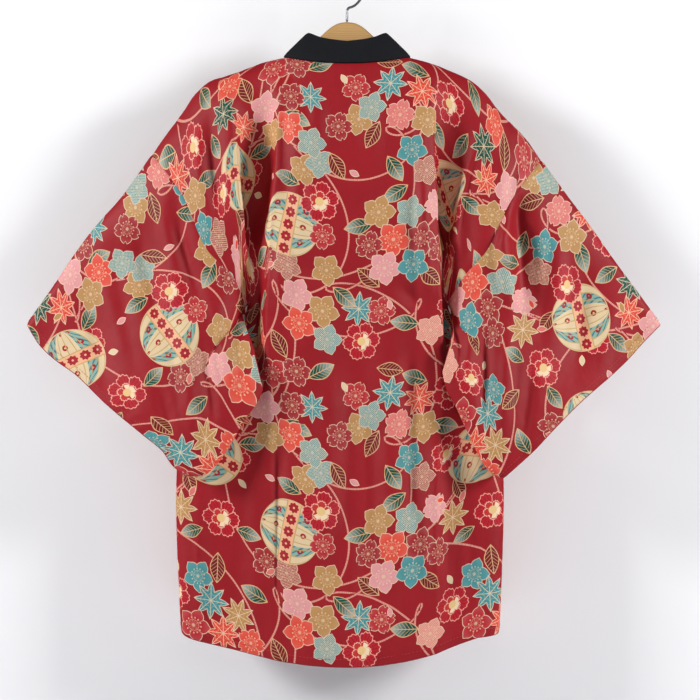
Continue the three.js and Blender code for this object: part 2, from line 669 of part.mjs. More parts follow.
// A closed wall round a grid: the outer face, the inner face and the edges between them.
// Each patch of four points is parted along its shorter diagonal.
function wallGeometry(grid, normals, thick, ring) {
  const [m, n] = [grid.length, grid[0].length];
  const positions = [];
  for (const side of [0.5, -0.5]) {
    grid.forEach((line, i) => line.forEach((p, j) => {
      positions.push(...p.clone().addScaledVector(normals[i][j], side * thick).toArray());
    }));
  }
  const index = [];
  const at = (i, j, layer) => layer * m * n + i * n + (j % n);
  const quad = (a, b, c, d) => index.push(a, b, c, a, c, d);
  const steps = ring ? n : n - 1;
  for (let i = 0; i < m - 1; i += 1) {
    for (let j = 0; j < steps; j += 1) {
      const next = (j + 1) % n;
      const falls = grid[i][j].distanceTo(grid[i + 1][next]);
      const climbs = grid[i][next].distanceTo(grid[i + 1][j]);
      const outer = [at(i, j, 0), at(i, next, 0), at(i + 1, next, 0), at(i + 1, j, 0)];
      const inner = [at(i, j, 1), at(i + 1, j, 1), at(i + 1, next, 1), at(i, next, 1)];
      if (falls <= climbs) {
        quad(...outer);
        quad(...inner);
      } else {
        quad(...outer.slice(1), outer[0]);
        quad(...inner.slice(1), inner[0]);
      }
    }
  }
  for (let j = 0; j < steps; j += 1) {
    quad(at(0, j, 0), at(0, j, 1), at(0, j + 1, 1), at(0, j + 1, 0));
    quad(at(m - 1, j, 0), at(m - 1, j + 1, 0), at(m - 1, j + 1, 1), at(m - 1, j, 1));
  }
  for (let i = 0; !ring && i < m - 1; i += 1) {
    quad(at(i, 0, 0), at(i + 1, 0, 0), at(i + 1, 0, 1), at(i, 0, 1));
    quad(at(i, n - 1, 0), at(i, n - 1, 1), at(i + 1, n - 1, 1), at(i + 1, n - 1, 0));
  }
  return facingOut(positions, index);
}

// Turns a closed mesh's faces outwards, from the sign of its volume.
function facingOut(positions, index) {
  const geometry = new THREE.BufferGeometry();
  geometry.setAttribute('position', new THREE.Float32BufferAttribute(positions, 3));
  const [a, b, c] = [0, 0, 0].map(() => new THREE.Vector3());
  let volume = 0;
  for (let i = 0; i < index.length; i += 3) {
    a.fromArray(positions, 3 * index[i]);
    b.fromArray(positions, 3 * index[i + 1]);
    c.fromArray(positions, 3 * index[i + 2]);
    volume += a.dot(b.cross(c));
  }
  geometry.setIndex(volume < 0 ? index.slice().reverse() : index);
  geometry.computeVertexNormals();
  return geometry;
}

// The collar band's sections: from the seam to the free edge, with rounded edges.
const BAND_PROFILE = [
  { across: 0, half: 0.16 },
  { across: 0.06, half: 0.42 },
  { across: 0.3, half: 0.5 },
  { across: 0.7, half: 0.5 },
  { across: 0.94, half: 0.42 },
  { across: 1, half: 0.16 },
];

// The band's seam line and reach for one half, from the centre of the neck to the hem.
function bandStations(side) {
  const neckReach = lookUp(NECK_BAND, 'turn');
  const frontReach = lookUp(FRONT_BAND, 'down');
  const edge = lookUp(FRONT_EDGE, 'down');
  const neck = evenly(0, 90, NECK_STEPS).map((turn) => ({ seam: neckPoint(turn), reach: neckReach(turn) }));
  const front = rows.slice(1).map((down) => {
    const e = edge(down);
    const z = edge(fallen(down)).z;
    const y = FRONT_DEPTH * rounded(down);
    const lift = (shoulderHeight[side](NECK_HALF) - FRONT_EDGE[0].z) * Math.exp(-down / SHOULDER_FADE);
    return { seam: { out: e.out, y, z: z + lift }, reach: frontReach(down) };
  });
  return [...neck, ...front].map(({ seam, reach }) => ({
    seam: new THREE.Vector3(sign(side) * seam.out, seam.y, seam.z),
    reach: new THREE.Vector3(sign(side) * reach.out, reach.y, reach.z),
  }));
}

function collarGeometry() {
  const left = bandStations('left').slice(1).reverse();
  const stations = [...left, ...bandStations('right')];
  const loops = stations.map(({ seam, reach }, i) => {
    const tangent = new THREE.Vector3().subVectors(
      stations[Math.min(stations.length - 1, i + 1)].seam,
      stations[Math.max(0, i - 1)].seam,
    ).normalize();
    const face = new THREE.Vector3().crossVectors(tangent, reach).normalize();
    const start = reach.clone().normalize().multiplyScalar(BAND_GAP);
    const at = (p, turn) => seam.clone().add(start)
      .addScaledVector(reach, p.across)
      .addScaledVector(face, turn * p.half * BAND_THICK);
    return [
      ...BAND_PROFILE.map((p) => at(p, 1)),
      ...BAND_PROFILE.slice().reverse().map((p) => at(p, -1)),
    ];
  });
  return loopGeometry(loops);
}

// A solid through closed loops of points, with flat ends.
function loopGeometry(loops) {
  const n = loops[0].length;
  const positions = loops.flat().flatMap((p) => p.toArray());
  const index = [];
  for (let i = 0; i < loops.length - 1; i += 1) {
    for (let j = 0; j < n; j += 1) {
      const k = (j + 1) % n;
      index.push(i * n + j, i * n + k, (i + 1) * n + k, i * n + j, (i + 1) * n + k, (i + 1) * n + j);
    }
  }
  const last = (loops.length - 1) * n;
  for (let j = 1; j < n - 1; j += 1) {
    index.push(0, j + 1, j);
    index.push(last, last + j, last + j + 1);
  }
  return facingOut(positions, index);
}

// The hanger's arms: the height of the top edge and how deep the wood is, by the place across.
const HANGER_ARMS = [
  { out: 0, top: -61, tall: 32 },
  { out: 10, top: -62.5, tall: 32 },
  { out: 20, top: -67, tall: 31 },
  { out: 29, top: -74, tall: 30 },
  { out: 37, top: -81.5, tall: 28 },
  { out: 50, top: -93.5, tall: 26 },
  { out: 70, top: -109.5, tall: 24 },
  { out: 86, top: -116.5, tall: 23 },
  { out: 100, top: -118.4, tall: 23 },
  { out: 118, top: -123.4, tall: 22 },
  { out: 140, top: -132.1, tall: 21 },
  { out: 160, top: -141.4, tall: 20 },
  { out: 172, top: -148.6, tall: 17 },
];
const HANGER_SECTION = [
  { up: 0, half: 0.22 },
  { up: 0.08, half: 0.42 },
  { up: 0.22, half: 0.5 },
  { up: 0.78, half: 0.5 },
  { up: 0.91, half: 0.42 },
  { up: 0.97, half: 0.24 },
  { up: 1, half: 0.09 },
];

function hangerGeometry() {
  const arm = lookUp(HANGER_ARMS, 'out');
  const outs = HANGER_ARMS.map((row) => row.out);
  const places = [...outs.slice(1).reverse().map((v) => -v), ...outs];
  const loops = places.map((x) => {
    const { top, tall } = arm(Math.abs(x));
    const at = (p, turn) => new THREE.Vector3(x, turn * p.half * HANGER_THICK, top - tall * (1 - p.up));
    return [
      ...HANGER_SECTION.map((p) => at(p, 1)),
      ...HANGER_SECTION.slice().reverse().map((p) => at(p, -1)),
    ];
  });
  return loopGeometry(loops);
}

// The hook: a shank up from the wood, a bend to the right, then up and over to the left.
class HookLine extends THREE.Curve {
  getPoint(t, target = new THREE.Vector3()) {
    const centreZ = HOOK_BOTTOM_Z + HOOK_RADIUS;
    const shankZ = HANGER_ARMS[0].top + SEAM_GAP;
    const shank = HOOK_BOTTOM_Z - HOOK_BEND - shankZ;
    const bend = (Math.PI / 2) * HOOK_BEND;
    const s = t * (shank + bend + HOOK_RADIUS * HOOK_TURN);
    if (s <= shank) return target.set(0, 0, shankZ + s);
    if (s <= shank + bend) {
      const angle = (s - shank) / HOOK_BEND;
      const z = HOOK_BOTTOM_Z - HOOK_BEND + HOOK_BEND * Math.sin(angle);
      return target.set(HOOK_BEND * (1 - Math.cos(angle)), 0, z);
    }
    const travelled = s - shank - bend;
    const angle = travelled / HOOK_RADIUS + Math.asin(HOOK_BEND / HOOK_RADIUS);
    const step = HOOK_RADIUS * (1 - Math.sqrt(1 - (HOOK_BEND / HOOK_RADIUS) ** 2));
    const settle = step * Math.max(0, 1 - travelled / (2 * HOOK_BEND));
    return target.set(HOOK_RADIUS * Math.sin(angle), 0, centreZ - HOOK_RADIUS * Math.cos(angle) - settle);
  }
}

function hookGeometry() {
  const corners = evenly(0, 2 * Math.PI, HOOK_SIDES).slice(0, -1);
  const section = new THREE.Shape(corners.map((angle) => {
    return new THREE.Vector2(Math.cos(angle), Math.sin(angle)).multiplyScalar(WIRE / 2);
  }));
  const options = { steps: HOOK_STEPS, extrudePath: new HookLine(), bevelEnabled: false };
  return new THREE.ExtrudeGeometry(section, options);
}

function mesh(name, geometry, look) {
  const made = new THREE.Mesh(geometry, new THREE.MeshStandardMaterial(MATERIALS[look]));
  made.name = name;
  return made;
}

// Along the shoulder the back and front meet in one upright plane.
function shoulderSeam(line, lineNormals, turn) {
  line.forEach((point, i) => {
    if (Math.abs(point.x) < NECK_HALF - 0.01) return;
    point.y = turn * SEAM_GAP / 2;
    lineNormals[i].y = 0;
    lineNormals[i].normalize();
  });
}

// Lays out every panel, parts them at the seams and thickens them.
function jacket() {
  const back = backGrid();
  const fronts = { left: frontGrid('left'), right: frontGrid('right') };
  const sleeves = { left: sleeveGrid('left'), right: sleeveGrid('right') };
  const normals = {
    back: gridNormals(back, false, true),
    left: gridNormals(fronts.left, false, true),
    right: gridNormals(fronts.right, false, false),
    sleeveLeft: gridNormals(sleeves.left, true, true),
    sleeveRight: gridNormals(sleeves.right, true, false),
  };
  const width = back[0].length;
  const frontWidth = fronts.left[0].length;
  const armholeRows = UPPER_ROWS.length;
  const ringLength = sleeves.left[0].length;
  const sides = [
    { name: 'left', edge: 0, inward: 1, sleeve: normals.sleeveLeft },
    { name: 'right', edge: width - 1, inward: -1, sleeve: normals.sleeveRight },
  ];
  for (const { name, edge, inward, sleeve } of sides) {
    const front = fronts[name];
    const ring = sleeves[name];
    const backEdge = back.map((line) => line[edge]);
    const backNext = back.map((line) => line[edge + inward]);
    const frontEdge = front.map((line) => line[frontWidth - 1]);
    const frontNext = front.map((line) => line[frontWidth - 2]);
    const backNormals = normals.back.map((line) => line[edge]);
    const frontNormals = normals[name].map((line) => line[frontWidth - 1]);
    const around = (i) => (ringLength - i) % ringLength;
    const seamRows = UPPER_ROWS.map((_, i) => i);
    shareNormals(seamRows.slice(1, -1).map((i) => [backNormals[i], sleeve[0][i]]));
    shareNormals(seamRows.slice(1, -1).map((i) => [frontNormals[i], sleeve[0][around(i)]]));
    shareNormals(rows.map((_, i) => i).slice(armholeRows).map((i) => [backNormals[i], frontNormals[i]]));
    const armpit = armholeRows - 1;
    calm(normals.back, armpit, edge, inward);
    calm(normals[name], armpit, frontWidth - 1, -1);
    drawBack(backEdge, backNext, backNormals, SEAM_GAP / 2);
    drawBack(frontEdge, frontNext, frontNormals, SEAM_GAP / 2);
    drawBack(ring[0], ring[1], sleeve[0], SEAM_GAP / 2);
    shoulderSeam(front[0], normals[name][0], 1);
  }
  shoulderSeam(back[0], normals.back[0], -1);
  const isNeck = (point) => Math.abs(point.x) < NECK_HALF - 0.01;
  const neck = back[0].map((point, i) => i).filter((i) => isNeck(back[0][i]));
  const pick = (line) => neck.map((i) => line[i]);
  drawBack(pick(back[0]), pick(back[1]), pick(normals.back[0]), NECK_RELIEF);
  for (const { name } of sides) {
    const front = fronts[name];
    const [edge, inner] = [0, 1].map((i) => front.map((line) => line[i]));
    drawBack(edge, inner, normals[name].map((line) => line[0]), NECK_RELIEF);
  }
  return { back, fronts, sleeves, normals };
}

const { back, fronts, sleeves, normals } = jacket();
const garment = new THREE.Group();
garment.add(mesh('back', wallGeometry(back, normals.back, WALL, false), 'cloth'));
garment.add(mesh('front_left', wallGeometry(fronts.left, normals.left, WALL, false), 'cloth'));
garment.add(mesh('front_right', wallGeometry(fronts.right, normals.right, WALL, false), 'cloth'));
garment.add(mesh('sleeve_left', wallGeometry(sleeves.left, normals.sleeveLeft, WALL, true), 'cloth'));
garment.add(mesh('sleeve_right', wallGeometry(sleeves.right, normals.sleeveRight, WALL, true), 'cloth'));
garment.add(mesh('collar', collarGeometry(), 'band'));
garment.add(mesh('hanger_wood', hangerGeometry(), 'wood'));
garment.add(mesh('hanger_hook', hookGeometry(), 'wire'));

export default garment;
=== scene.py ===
# A hanten, the short padded jacket with wide sleeves, on a wooden hanger, seen from behind.
# The cloth is built as the maker cuts it: each panel is a grid of points on the middle of its
# cloth, with the cloth's own measure (across, down) at each point, so the print follows the folds.
import functools
import math

import bmesh
import bpy
import numpy as np
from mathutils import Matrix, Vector
from mathutils.kdtree import KDTree


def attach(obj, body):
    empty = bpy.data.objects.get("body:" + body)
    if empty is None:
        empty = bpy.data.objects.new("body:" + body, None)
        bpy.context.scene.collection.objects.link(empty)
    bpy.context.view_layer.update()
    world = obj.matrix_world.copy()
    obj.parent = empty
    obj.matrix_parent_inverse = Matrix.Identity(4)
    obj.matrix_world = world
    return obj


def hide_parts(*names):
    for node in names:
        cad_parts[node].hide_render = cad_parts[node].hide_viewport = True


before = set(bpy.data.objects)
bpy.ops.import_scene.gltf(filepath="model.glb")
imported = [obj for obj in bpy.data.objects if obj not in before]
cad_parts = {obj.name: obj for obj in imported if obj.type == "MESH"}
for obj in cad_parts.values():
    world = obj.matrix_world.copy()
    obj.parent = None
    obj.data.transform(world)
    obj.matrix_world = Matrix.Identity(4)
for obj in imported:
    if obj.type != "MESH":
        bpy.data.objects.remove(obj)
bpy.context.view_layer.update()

bl_info = {
    "name": "Hanten on a hanger",
    "version": (1, 0, 0),
    "blender": (4, 5, 0),
    "location": "View3D > Sidebar > Hanten",
    "description": "Builds a printed padded jacket on its wooden hanger",
    "category": "Add Mesh",
}

MM = 0.001

# The cut and the hang, in millimetres, as in the part's source
BODY_LENGTH = 830
NECK_HALF = 88
NECK_DEPTH = 30
NECK_DROP = 14
BACK_NECK_Z = -124
BACK_HEM_Z = -951
ARMHOLE = 250
SLEEVE_HEIGHT = 330
CUFF_HALF_THICK = 8
SHOULDER_ROUND = 28
SHOULDER_DROP = 10
SHOULDER_FADE = 55
BACK_DEPTH = 42
FRONT_DEPTH = 34
SIDE_BULGE = 30
FRONT_TURN = 2
VALLEY_LEAN = 0.22
FRONT_SPREAD = 0.85
SLEEVE_SETBACK = 56
NECK_SHARE = 5 / 7
BAND_THICK = 9
BAND_GAP = 1.1
HANGER_THICK = 12
WIRE = 3.5
HOOK_RADIUS = 21
HOOK_BOTTOM_Z = -40.3
HOOK_BEND = 6
HOOK_TURN = 1.47 * math.pi


def rows(names, *values):
    """A table: one dictionary a row, with the named columns."""
    return [dict(zip(names.split(), row)) for row in values]


TOP_LINE = {
    "left": rows("out z",
        (88, -112), (118, -119.5), (140, -128), (170, -138.5), (186, -142.5), (211, -162),
        (225, -183), (255, -224), (270, -246)),
    "right": rows("out z",
        (88, -112), (118, -120.5), (140, -129), (170, -142.5), (193, -162), (208, -182.5),
        (248, -224), (269, -254)),
}
SLEEVE_TOP = {
    "left": rows("along out z",
        (0, 270, -246), (80, 313, -306), (135, 349.5, -347), (187, 380, -388), (236, 407.5, -429.5),
        (298, 444, -481)),
    "right": rows("along out z",
        (0, 269, -254), (65, 307, -306), (117, 338.5, -347.5), (167, 367, -388.5),
        (218, 397.5, -430), (282, 435, -481)),
}
SLEEVE_BOTTOM = {
    "left": rows("out z",
        (115, -570), (126, -592), (138, -607), (155, -637), (168, -657), (180, -674), (199, -687),
        (219, -688)),
    "right": rows("out z",
        (131, -545), (137, -571), (148, -590), (159, -614), (170, -638), (184, -666), (197, -683),
        (212, -691)),
}
CUFF = {
    "left": rows("out z",
        (444, -481), (426, -509), (404, -529.5), (374, -550), (329, -590.5), (277, -632),
        (250, -654), (236, -674), (219, -688)),
    "right": rows("out z",
        (435, -481), (407, -509), (388, -529.5), (366, -549.5), (316, -591), (274, -632),
        (254, -653), (230, -675), (212, -691)),
}
SIDE_SEAM = {
    "left": rows("down out z back front",
        (0, 270, -246, -34, 34), (73, 225, -306, -37, 36), (150, 192, -379, -44, 36),
        (200, 158, -415, -38, 30), (225, 146, -436, -25, 20), (250, 138, -455, -3, 3),
        (300, 146, -484, 4, 4), (360, 159, -519, 5, 5), (420, 173, -554, 7, 7),
        (470, 190, -583, 9, 9), (560, 220, -636, 14, 14), (640, 224, -716, 18, 18),
        (830, 217, -896, 22, 22)),
    "right": rows("down out z back front",
        (0, 269, -254, -34, 34), (73, 225, -312, -37, 36), (150, 192, -380, -44, 36),
        (200, 160, -417, -38, 30), (225, 148, -437, -25, 20), (250, 140, -455, -3, 3),
        (300, 148, -484, 4, 4), (360, 161, -519, 5, 5), (420, 174, -552, 7, 7),
        (470, 186, -580, 9, 9), (560, 201, -633, 14, 14), (640, 204, -713, 18, 18),
        (830, 198, -902, 22, 22)),
}
INNER_EDGE = {
    "left": rows("down out z back front",
        (250, 142.5, -453, -7, 6), (275, 140, -480, -27, -15), (300, 129, -513, -47, -35),
        (318, 121, -545, -58, -47), (330, 115, -570, -55, -55)),
    "right": rows("down out z back front",
        (250, 144, -454, -6, 6), (275, 145, -480, -25, -12), (300, 142, -504, -48, -37),
        (318, 136, -527, -59, -49), (330, 131, -545, -56, -56)),
}
BACK_FOLD = {
    "left": rows("down fold_out fold_y fold_z side_out side_y side_z depth",
        (0, 108, -38, -117, 178, -36, -139, 0), (80, 89, -40, -194, 161, -43, -216, 20),
        (150, 90, -43, -263, 153, -47, -290, 41), (200, 96, -45, -312, 146, -46, -350, 45),
        (225, 99, -46, -337, 143, -35, -393, 26), (250, 102, -46, -361, 131, -13, -434, 0),
        (300, 106, -46, -410, 122, -6, -460, 0), (360, 110, -43, -470, 123, -5, -505, 0),
        (420, 109, -40, -529, 133, -9, -546, 0), (470, 105, -39, -578, 158, -22, -581, 2),
        (560, 99, -40, -667, 194, -32, -648, 7), (640, 98, -41, -746, 202, -34, -726, 6),
        (830, 98, -43, -941, 198, -36, -917, 4)),
    "right": rows("down fold_out fold_y fold_z side_out side_y side_z depth",
        (0, 118, -38, -121, 214, -34, -190, 0), (80, 113, -44, -199, 178, -36, -262, 16),
        (150, 117, -47, -267, 157, -43, -340, 40), (200, 120, -48, -316, 151, -45, -372, 40),
        (225, 121, -48, -341, 147, -35, -399, 23), (250, 123, -48, -365, 133, -13, -434, 0),
        (300, 126, -46, -414, 130, -6, -466, 0), (360, 129, -42, -473, 134, -5, -506, 0),
        (420, 130, -39, -532, 147, -11, -547, 0), (470, 130, -38, -581, 168, -24, -581, 0),
        (560, 125, -40, -668, 180, -32, -646, 4), (640, 122, -42, -746, 184, -34, -722, 4),
        (830, 122, -44, -932, 180, -36, -911, 4)),
}
FRONT_FOLD = rows("down fold_out fold_y fold_z side_out side_y side_z depth",
    (0, 112, 36, -118, 214, 34, -190, 0), (80, 104, 38, -195, 186, 37, -262, 10),
    (150, 105, 40, -266, 166, 38, -338, 18), (200, 107, 40, -316, 152, 33, -392, 12),
    (225, 108, 40, -341, 143, 23, -416, 3), (250, 110, 40, -365, 132, 15, -436, 0),
    (300, 112, 39, -414, 126, 14, -466, 0), (360, 116, 37, -473, 132, 15, -504, 0),
    (420, 120, 36, -532, 148, 19, -546, 0), (470, 124, 36, -581, 166, 25, -577, 2),
    (560, 126, 36, -668, 184, 34, -642, 5), (640, 126, 36, -746, 186, 36, -722, 6),
    (830, 126, 36, -927, 180, 37, -906, 6))
FRONT_EDGE = rows("down out z",
    (0, 88, -112), (40, 86, -145), (100, 79, -205), (200, 70, -307), (320, 64, -428),
    (450, 62, -559), (830, 62, -943))
NECK_BAND = rows("turn out y z",
    (0, 0, 16, 33), (25, -4, 15, 36), (45, -12, 11, 38.5), (65, -24, 5, 34), (90, -34, 1, 25))
FRONT_BAND = rows("down out y z",
    (0, -34, 1, 25), (20, -40, 2, 14), (50, -45, 4, 5), (100, -48, 4, 0), (200, -50, 2, 0),
    (830, -50, 0, 0))
BACK_CREASES = rows("top_x top_z end_x end_z width rise",
    (210, -190, 222, -480, 30, -5), (236, -205, 254, -470, 32, 6), (60, -300, 52, -930, 42, -4),
    (18, -420, 2, -940, 46, 5), (-52, -480, -60, -935, 44, -4), (150, -690, 158, -905, 30, -4),
    (-143, -560, -150, -800, 18, 7), (-176, -600, -182, -880, 22, -4),
    (-300, -400, -262, -600, 40, -4), (330, -420, 290, -570, 40, 4))
FRONT_CREASES = rows("top_x top_z end_x end_z width rise",
    (150, -640, 156, -905, 28, 5), (96, -330, 92, -900, 22, -5), (-150, -620, -160, -890, 30, 5),
    (-94, -360, -97, -920, 24, -4))
HANGER_ARMS = rows("out top tall",
    (0, -61, 32), (10, -62.5, 32), (20, -67, 31), (29, -74, 30), (37, -81.5, 28), (50, -93.5, 26),
    (70, -109.5, 24), (86, -116.5, 23), (100, -118.4, 23), (118, -123.4, 22), (140, -132.1, 21),
    (160, -141.4, 20), (172, -148.6, 17))
HANGER_SECTION = rows("up half",
    (0, 0.22), (0.08, 0.42), (0.22, 0.5), (0.78, 0.5), (0.91, 0.42), (0.97, 0.24), (1, 0.09))
# Softer folds that only the looks need, in the same layout: minus stands out towards the back.
# The padding makes each a rounded ridge or trough a few centimetres wide, uneven in length.
BACK_FOLDS = rows("top_x top_z end_x end_z width rise",
    (-100, -185, -86, -400, 34, 3.5), (-196, -170, -176, -330, 22, 5), (-214, -190, -190, -372, 20, -4),
    (160, -190, 156, -400, 34, 5), (-70, -170, -62, -380, 20, -3), (100, -190, 108, -400, 14, -3),
    (228, -210, 204, -372, 18, -4), (30, -150, 34, -260, 26, 3),
    (-40, -150, -46, -280, 24, -3), (-86, -330, -92, -470, 18, -4), (102, -300, 112, -470, 18, -4),
    (-20, -560, -30, -800, 30, -4), (34, -600, 40, -900, 26, 4), (88, -520, 92, -760, 22, 4),
    (-96, -640, -104, -880, 20, 4), (124, -640, 120, -860, 18, -5), (-128, -700, -124, -930, 16, -4),
    (0, -760, 10, -945, 22, -3), (64, -800, 60, -948, 18, 3), (-66, -850, -70, -948, 18, 3),
    (-150, -760, -156, -930, 15, 3), (172, -760, 176, -900, 16, 4), (-196, -700, -200, -900, 14, -3),
    (-70, -400, 20, -440, 24, 2.5), (60, -420, 130, -470, 24, 3))
SLEEVE_FOLDS = rows("top_x top_z end_x end_z width rise",
    (-262, -262, -232, -440, 24, -4), (-240, -330, -196, -470, 18, 4), (-300, -330, -252, -500, 22, 4),
    (-344, -380, -300, -560, 20, -3), (-372, -430, -330, -560, 18, 3), (-176, -470, -152, -590, 16, -5),
    (-200, -500, -176, -640, 15, 4), (-228, -480, -206, -650, 18, -4), (-258, -560, -230, -660, 14, 3),
    (-408, -450, -388, -520, 14, -3), (208, -300, 222, -460, 16, -6), (232, -290, 240, -450, 15, 6),
    (262, -290, 268, -450, 18, -3), (300, -320, 282, -520, 20, -4), (340, -380, 316, -540, 18, 3),
    (378, -430, 350, -540, 16, -3), (170, -470, 160, -590, 15, -5), (192, -480, 184, -630, 14, 5),
    (220, -500, 210, -650, 16, -4), (252, -540, 236, -660, 14, 3))
FRONT_FOLDS = rows("top_x top_z end_x end_z width rise",
    (-118, -150, -104, -330, 20, 4), (-190, -176, -168, -330, 20, -4), (112, -150, 100, -340, 20, 4),
    (184, -180, 172, -330, 18, -4), (-110, -420, -104, -640, 20, 4), (108, -430, 112, -660, 20, 4),
    (-130, -620, -124, -900, 16, -4), (132, -640, 128, -900, 16, -4), (-180, -660, -186, -900, 14, 4),
    (180, -680, 176, -900, 14, 4), (82, -560, 84, -930, 12, 3), (-82, -600, -80, -930, 12, 3))

# Distances down the cut at which the grids have a row
UPPER = np.concatenate([[0, 1.5, 3.5, 6, 9, 12.5, 16], np.arange(20, 251, 5)])
LOWER = np.arange(255, 831, 5)
EDGE = np.concatenate([np.arange(254, 323, 4), [324, 326, 327.5, 329]])
HALF_WALL = 1.7
# How far from an edge the wall thins, how far the edge's middle stands out, and the sewing's waves
SEAM_REACH = 7
EDGE_ROUND = 1.1
PUCKER = 0.9
# How deep the looks' own folds are, and how much of a valley's turn its shoulders take
FOLD_STRENGTH = 1.8
SHOULDER_SHARE = 0.2
# Folds begin below the shoulders, between these distances down the cut
FOLDS_START = (20, 90)
# Where on the printed cloth the fronts and the sleeves are cut, across and down
FRONT_CUT = (62, 130)
SLEEVE_CUT = (40, 60)
# The row of stitches is this far from the hem or the cuff
HEM_WIDTH = 9
# The picture's centre from the hanging point, across and up, and the room, in metres
PICTURE_CENTRE = (0.00411, -0.517)
WALL_Y = 0.075
FLOOR_Z = -1.7
ROOM = 4


def mix(a, b, t):
    return a + (b - a) * t


def smooth(low, high, value):
    t = np.clip((value - low) / (high - low), 0, 1)
    return t * t * (3 - 2 * t)


def column(table, key, name):
    """A smooth curve through one column of a table, with no overshoot between its rows."""
    xs = np.array([row[key] for row in table], float)
    ys = np.array([row[name] for row in table], float)
    slopes = np.diff(ys) / np.diff(xs)
    tangents = np.zeros(len(xs))
    tangents[0], tangents[-1] = slopes[0], slopes[-1]
    for i in range(1, len(xs) - 1):
        a, b = slopes[i - 1], slopes[i]
        tangents[i] = 0 if a * b <= 0 else 2 * a * b / (a + b)

    def curve(at):
        v = np.clip(at, xs[0], xs[-1])
        i = np.clip(np.searchsorted(xs, v, side="left") - 1, 0, len(xs) - 2)
        h = xs[i + 1] - xs[i]
        t = (v - xs[i]) / h
        a = ys[i] * (1 + 2 * t) + h * tangents[i] * t
        b = ys[i + 1] * (3 - 2 * t) - h * tangents[i + 1] * (1 - t)
        return a * (1 - t) ** 2 + b * t * t

    return curve


def look_up(table, key):
    """All of a table's columns as one function of its key."""
    curves = {name: column(table, key, name) for name in table[0] if name != key}
    return lambda at: {name: curve(at) for name, curve in curves.items()}


def followed(points):
    """A line of points, followed by the share of its length."""
    steps = [math.hypot(b["out"] - a["out"], b["z"] - a["z"]) for a, b in zip(points, points[1:])]
    shares = np.concatenate([[0], np.cumsum(steps)]) / sum(steps)
    return look_up([dict(share=s, **p) for s, p in zip(shares, points)], "share")


def valley(share, width, depth):
    """A valley between two tight shoulders, round below, with straight walls where it is deep."""
    turn = np.minimum(2 * np.arctan(2 * depth / width), math.pi / 2)
    flat = turn < 1e-4
    turn = np.where(flat, 1e-4, turn)
    both = width / (2 * np.sin(turn))
    shoulder, floor = both * SHOULDER_SHARE, both * (1 - SHOULDER_SHARE)
    upright = turn >= math.pi / 2 - 1e-9
    wall = np.where(upright, np.maximum(0, depth - both), 0)
    half = both * turn + wall
    s = (share if share <= 0.5 else 1 - share) * 2 * half
    arc = shoulder * turn
    rest = half - s
    on_wall = upright & (s < arc + wall)
    across = np.where(s < arc, shoulder * np.sin(s / shoulder),
                      np.where(on_wall, shoulder, width / 2 - floor * np.sin(rest / floor)))
    deep = np.where(s < arc, shoulder * (1 - np.cos(s / shoulder)),
                    np.where(on_wall, shoulder + s - arc, depth - floor * (1 - np.cos(rest / floor))))
    across = across / width
    across = across if share <= 0.5 else 1 - across
    return np.where(flat, share, across), np.where(flat, 0, deep)


def rounded(down):
    return 1 - np.exp(-down / SHOULDER_ROUND)


def fallen(down):
    scale = BODY_LENGTH / (math.hypot(BODY_LENGTH, SHOULDER_DROP) - SHOULDER_DROP)
    return (np.hypot(down, SHOULDER_DROP) - SHOULDER_DROP) * scale


def sign(side):
    return -1 if side == "left" else 1


def neck_point(turn):
    """The neck opening at the back, by the turn round it in degrees from the centre."""
    out = NECK_HALF * math.sin(math.radians(turn))
    z = BACK_NECK_Z + (NECK_DROP - 2) * (out / NECK_HALF) ** 2.2
    return out, -NECK_DEPTH * math.cos(math.radians(turn)), z


USUAL_SEAM = column([dict(down=r["down"], out=(r["out"] + l["out"]) / 2)
                     for r, l in zip(SIDE_SEAM["right"], SIDE_SEAM["left"])], "down", "out")
SHOULDER = {side: column(TOP_LINE[side], "out", "z") for side in TOP_LINE}


def creased(points, creases, fade, strength=1.0):
    """Moves points in or out along the table's lines, each a soft ridge or trough."""
    shift = np.zeros(points.shape[:-1])
    for c in creases:
        dx, dz = c["end_x"] - c["top_x"], c["end_z"] - c["top_z"]
        length = math.hypot(dx, dz)
        px, pz = points[..., 0] - c["top_x"], points[..., 2] - c["top_z"]
        along = (px * dx + pz * dz) / length
        beside = np.abs(px * dz - pz * dx) / length
        ends = smooth(-30, 40, along) * (1 - smooth(length - 60, length + 30, along))
        bump = np.where(beside < c["width"],
                        0.5 + 0.5 * np.cos(math.pi * np.minimum(beside / c["width"], 1)), 0)
        shift += c["rise"] * strength * ends * bump
    points[..., 1] += shift * fade
    return points


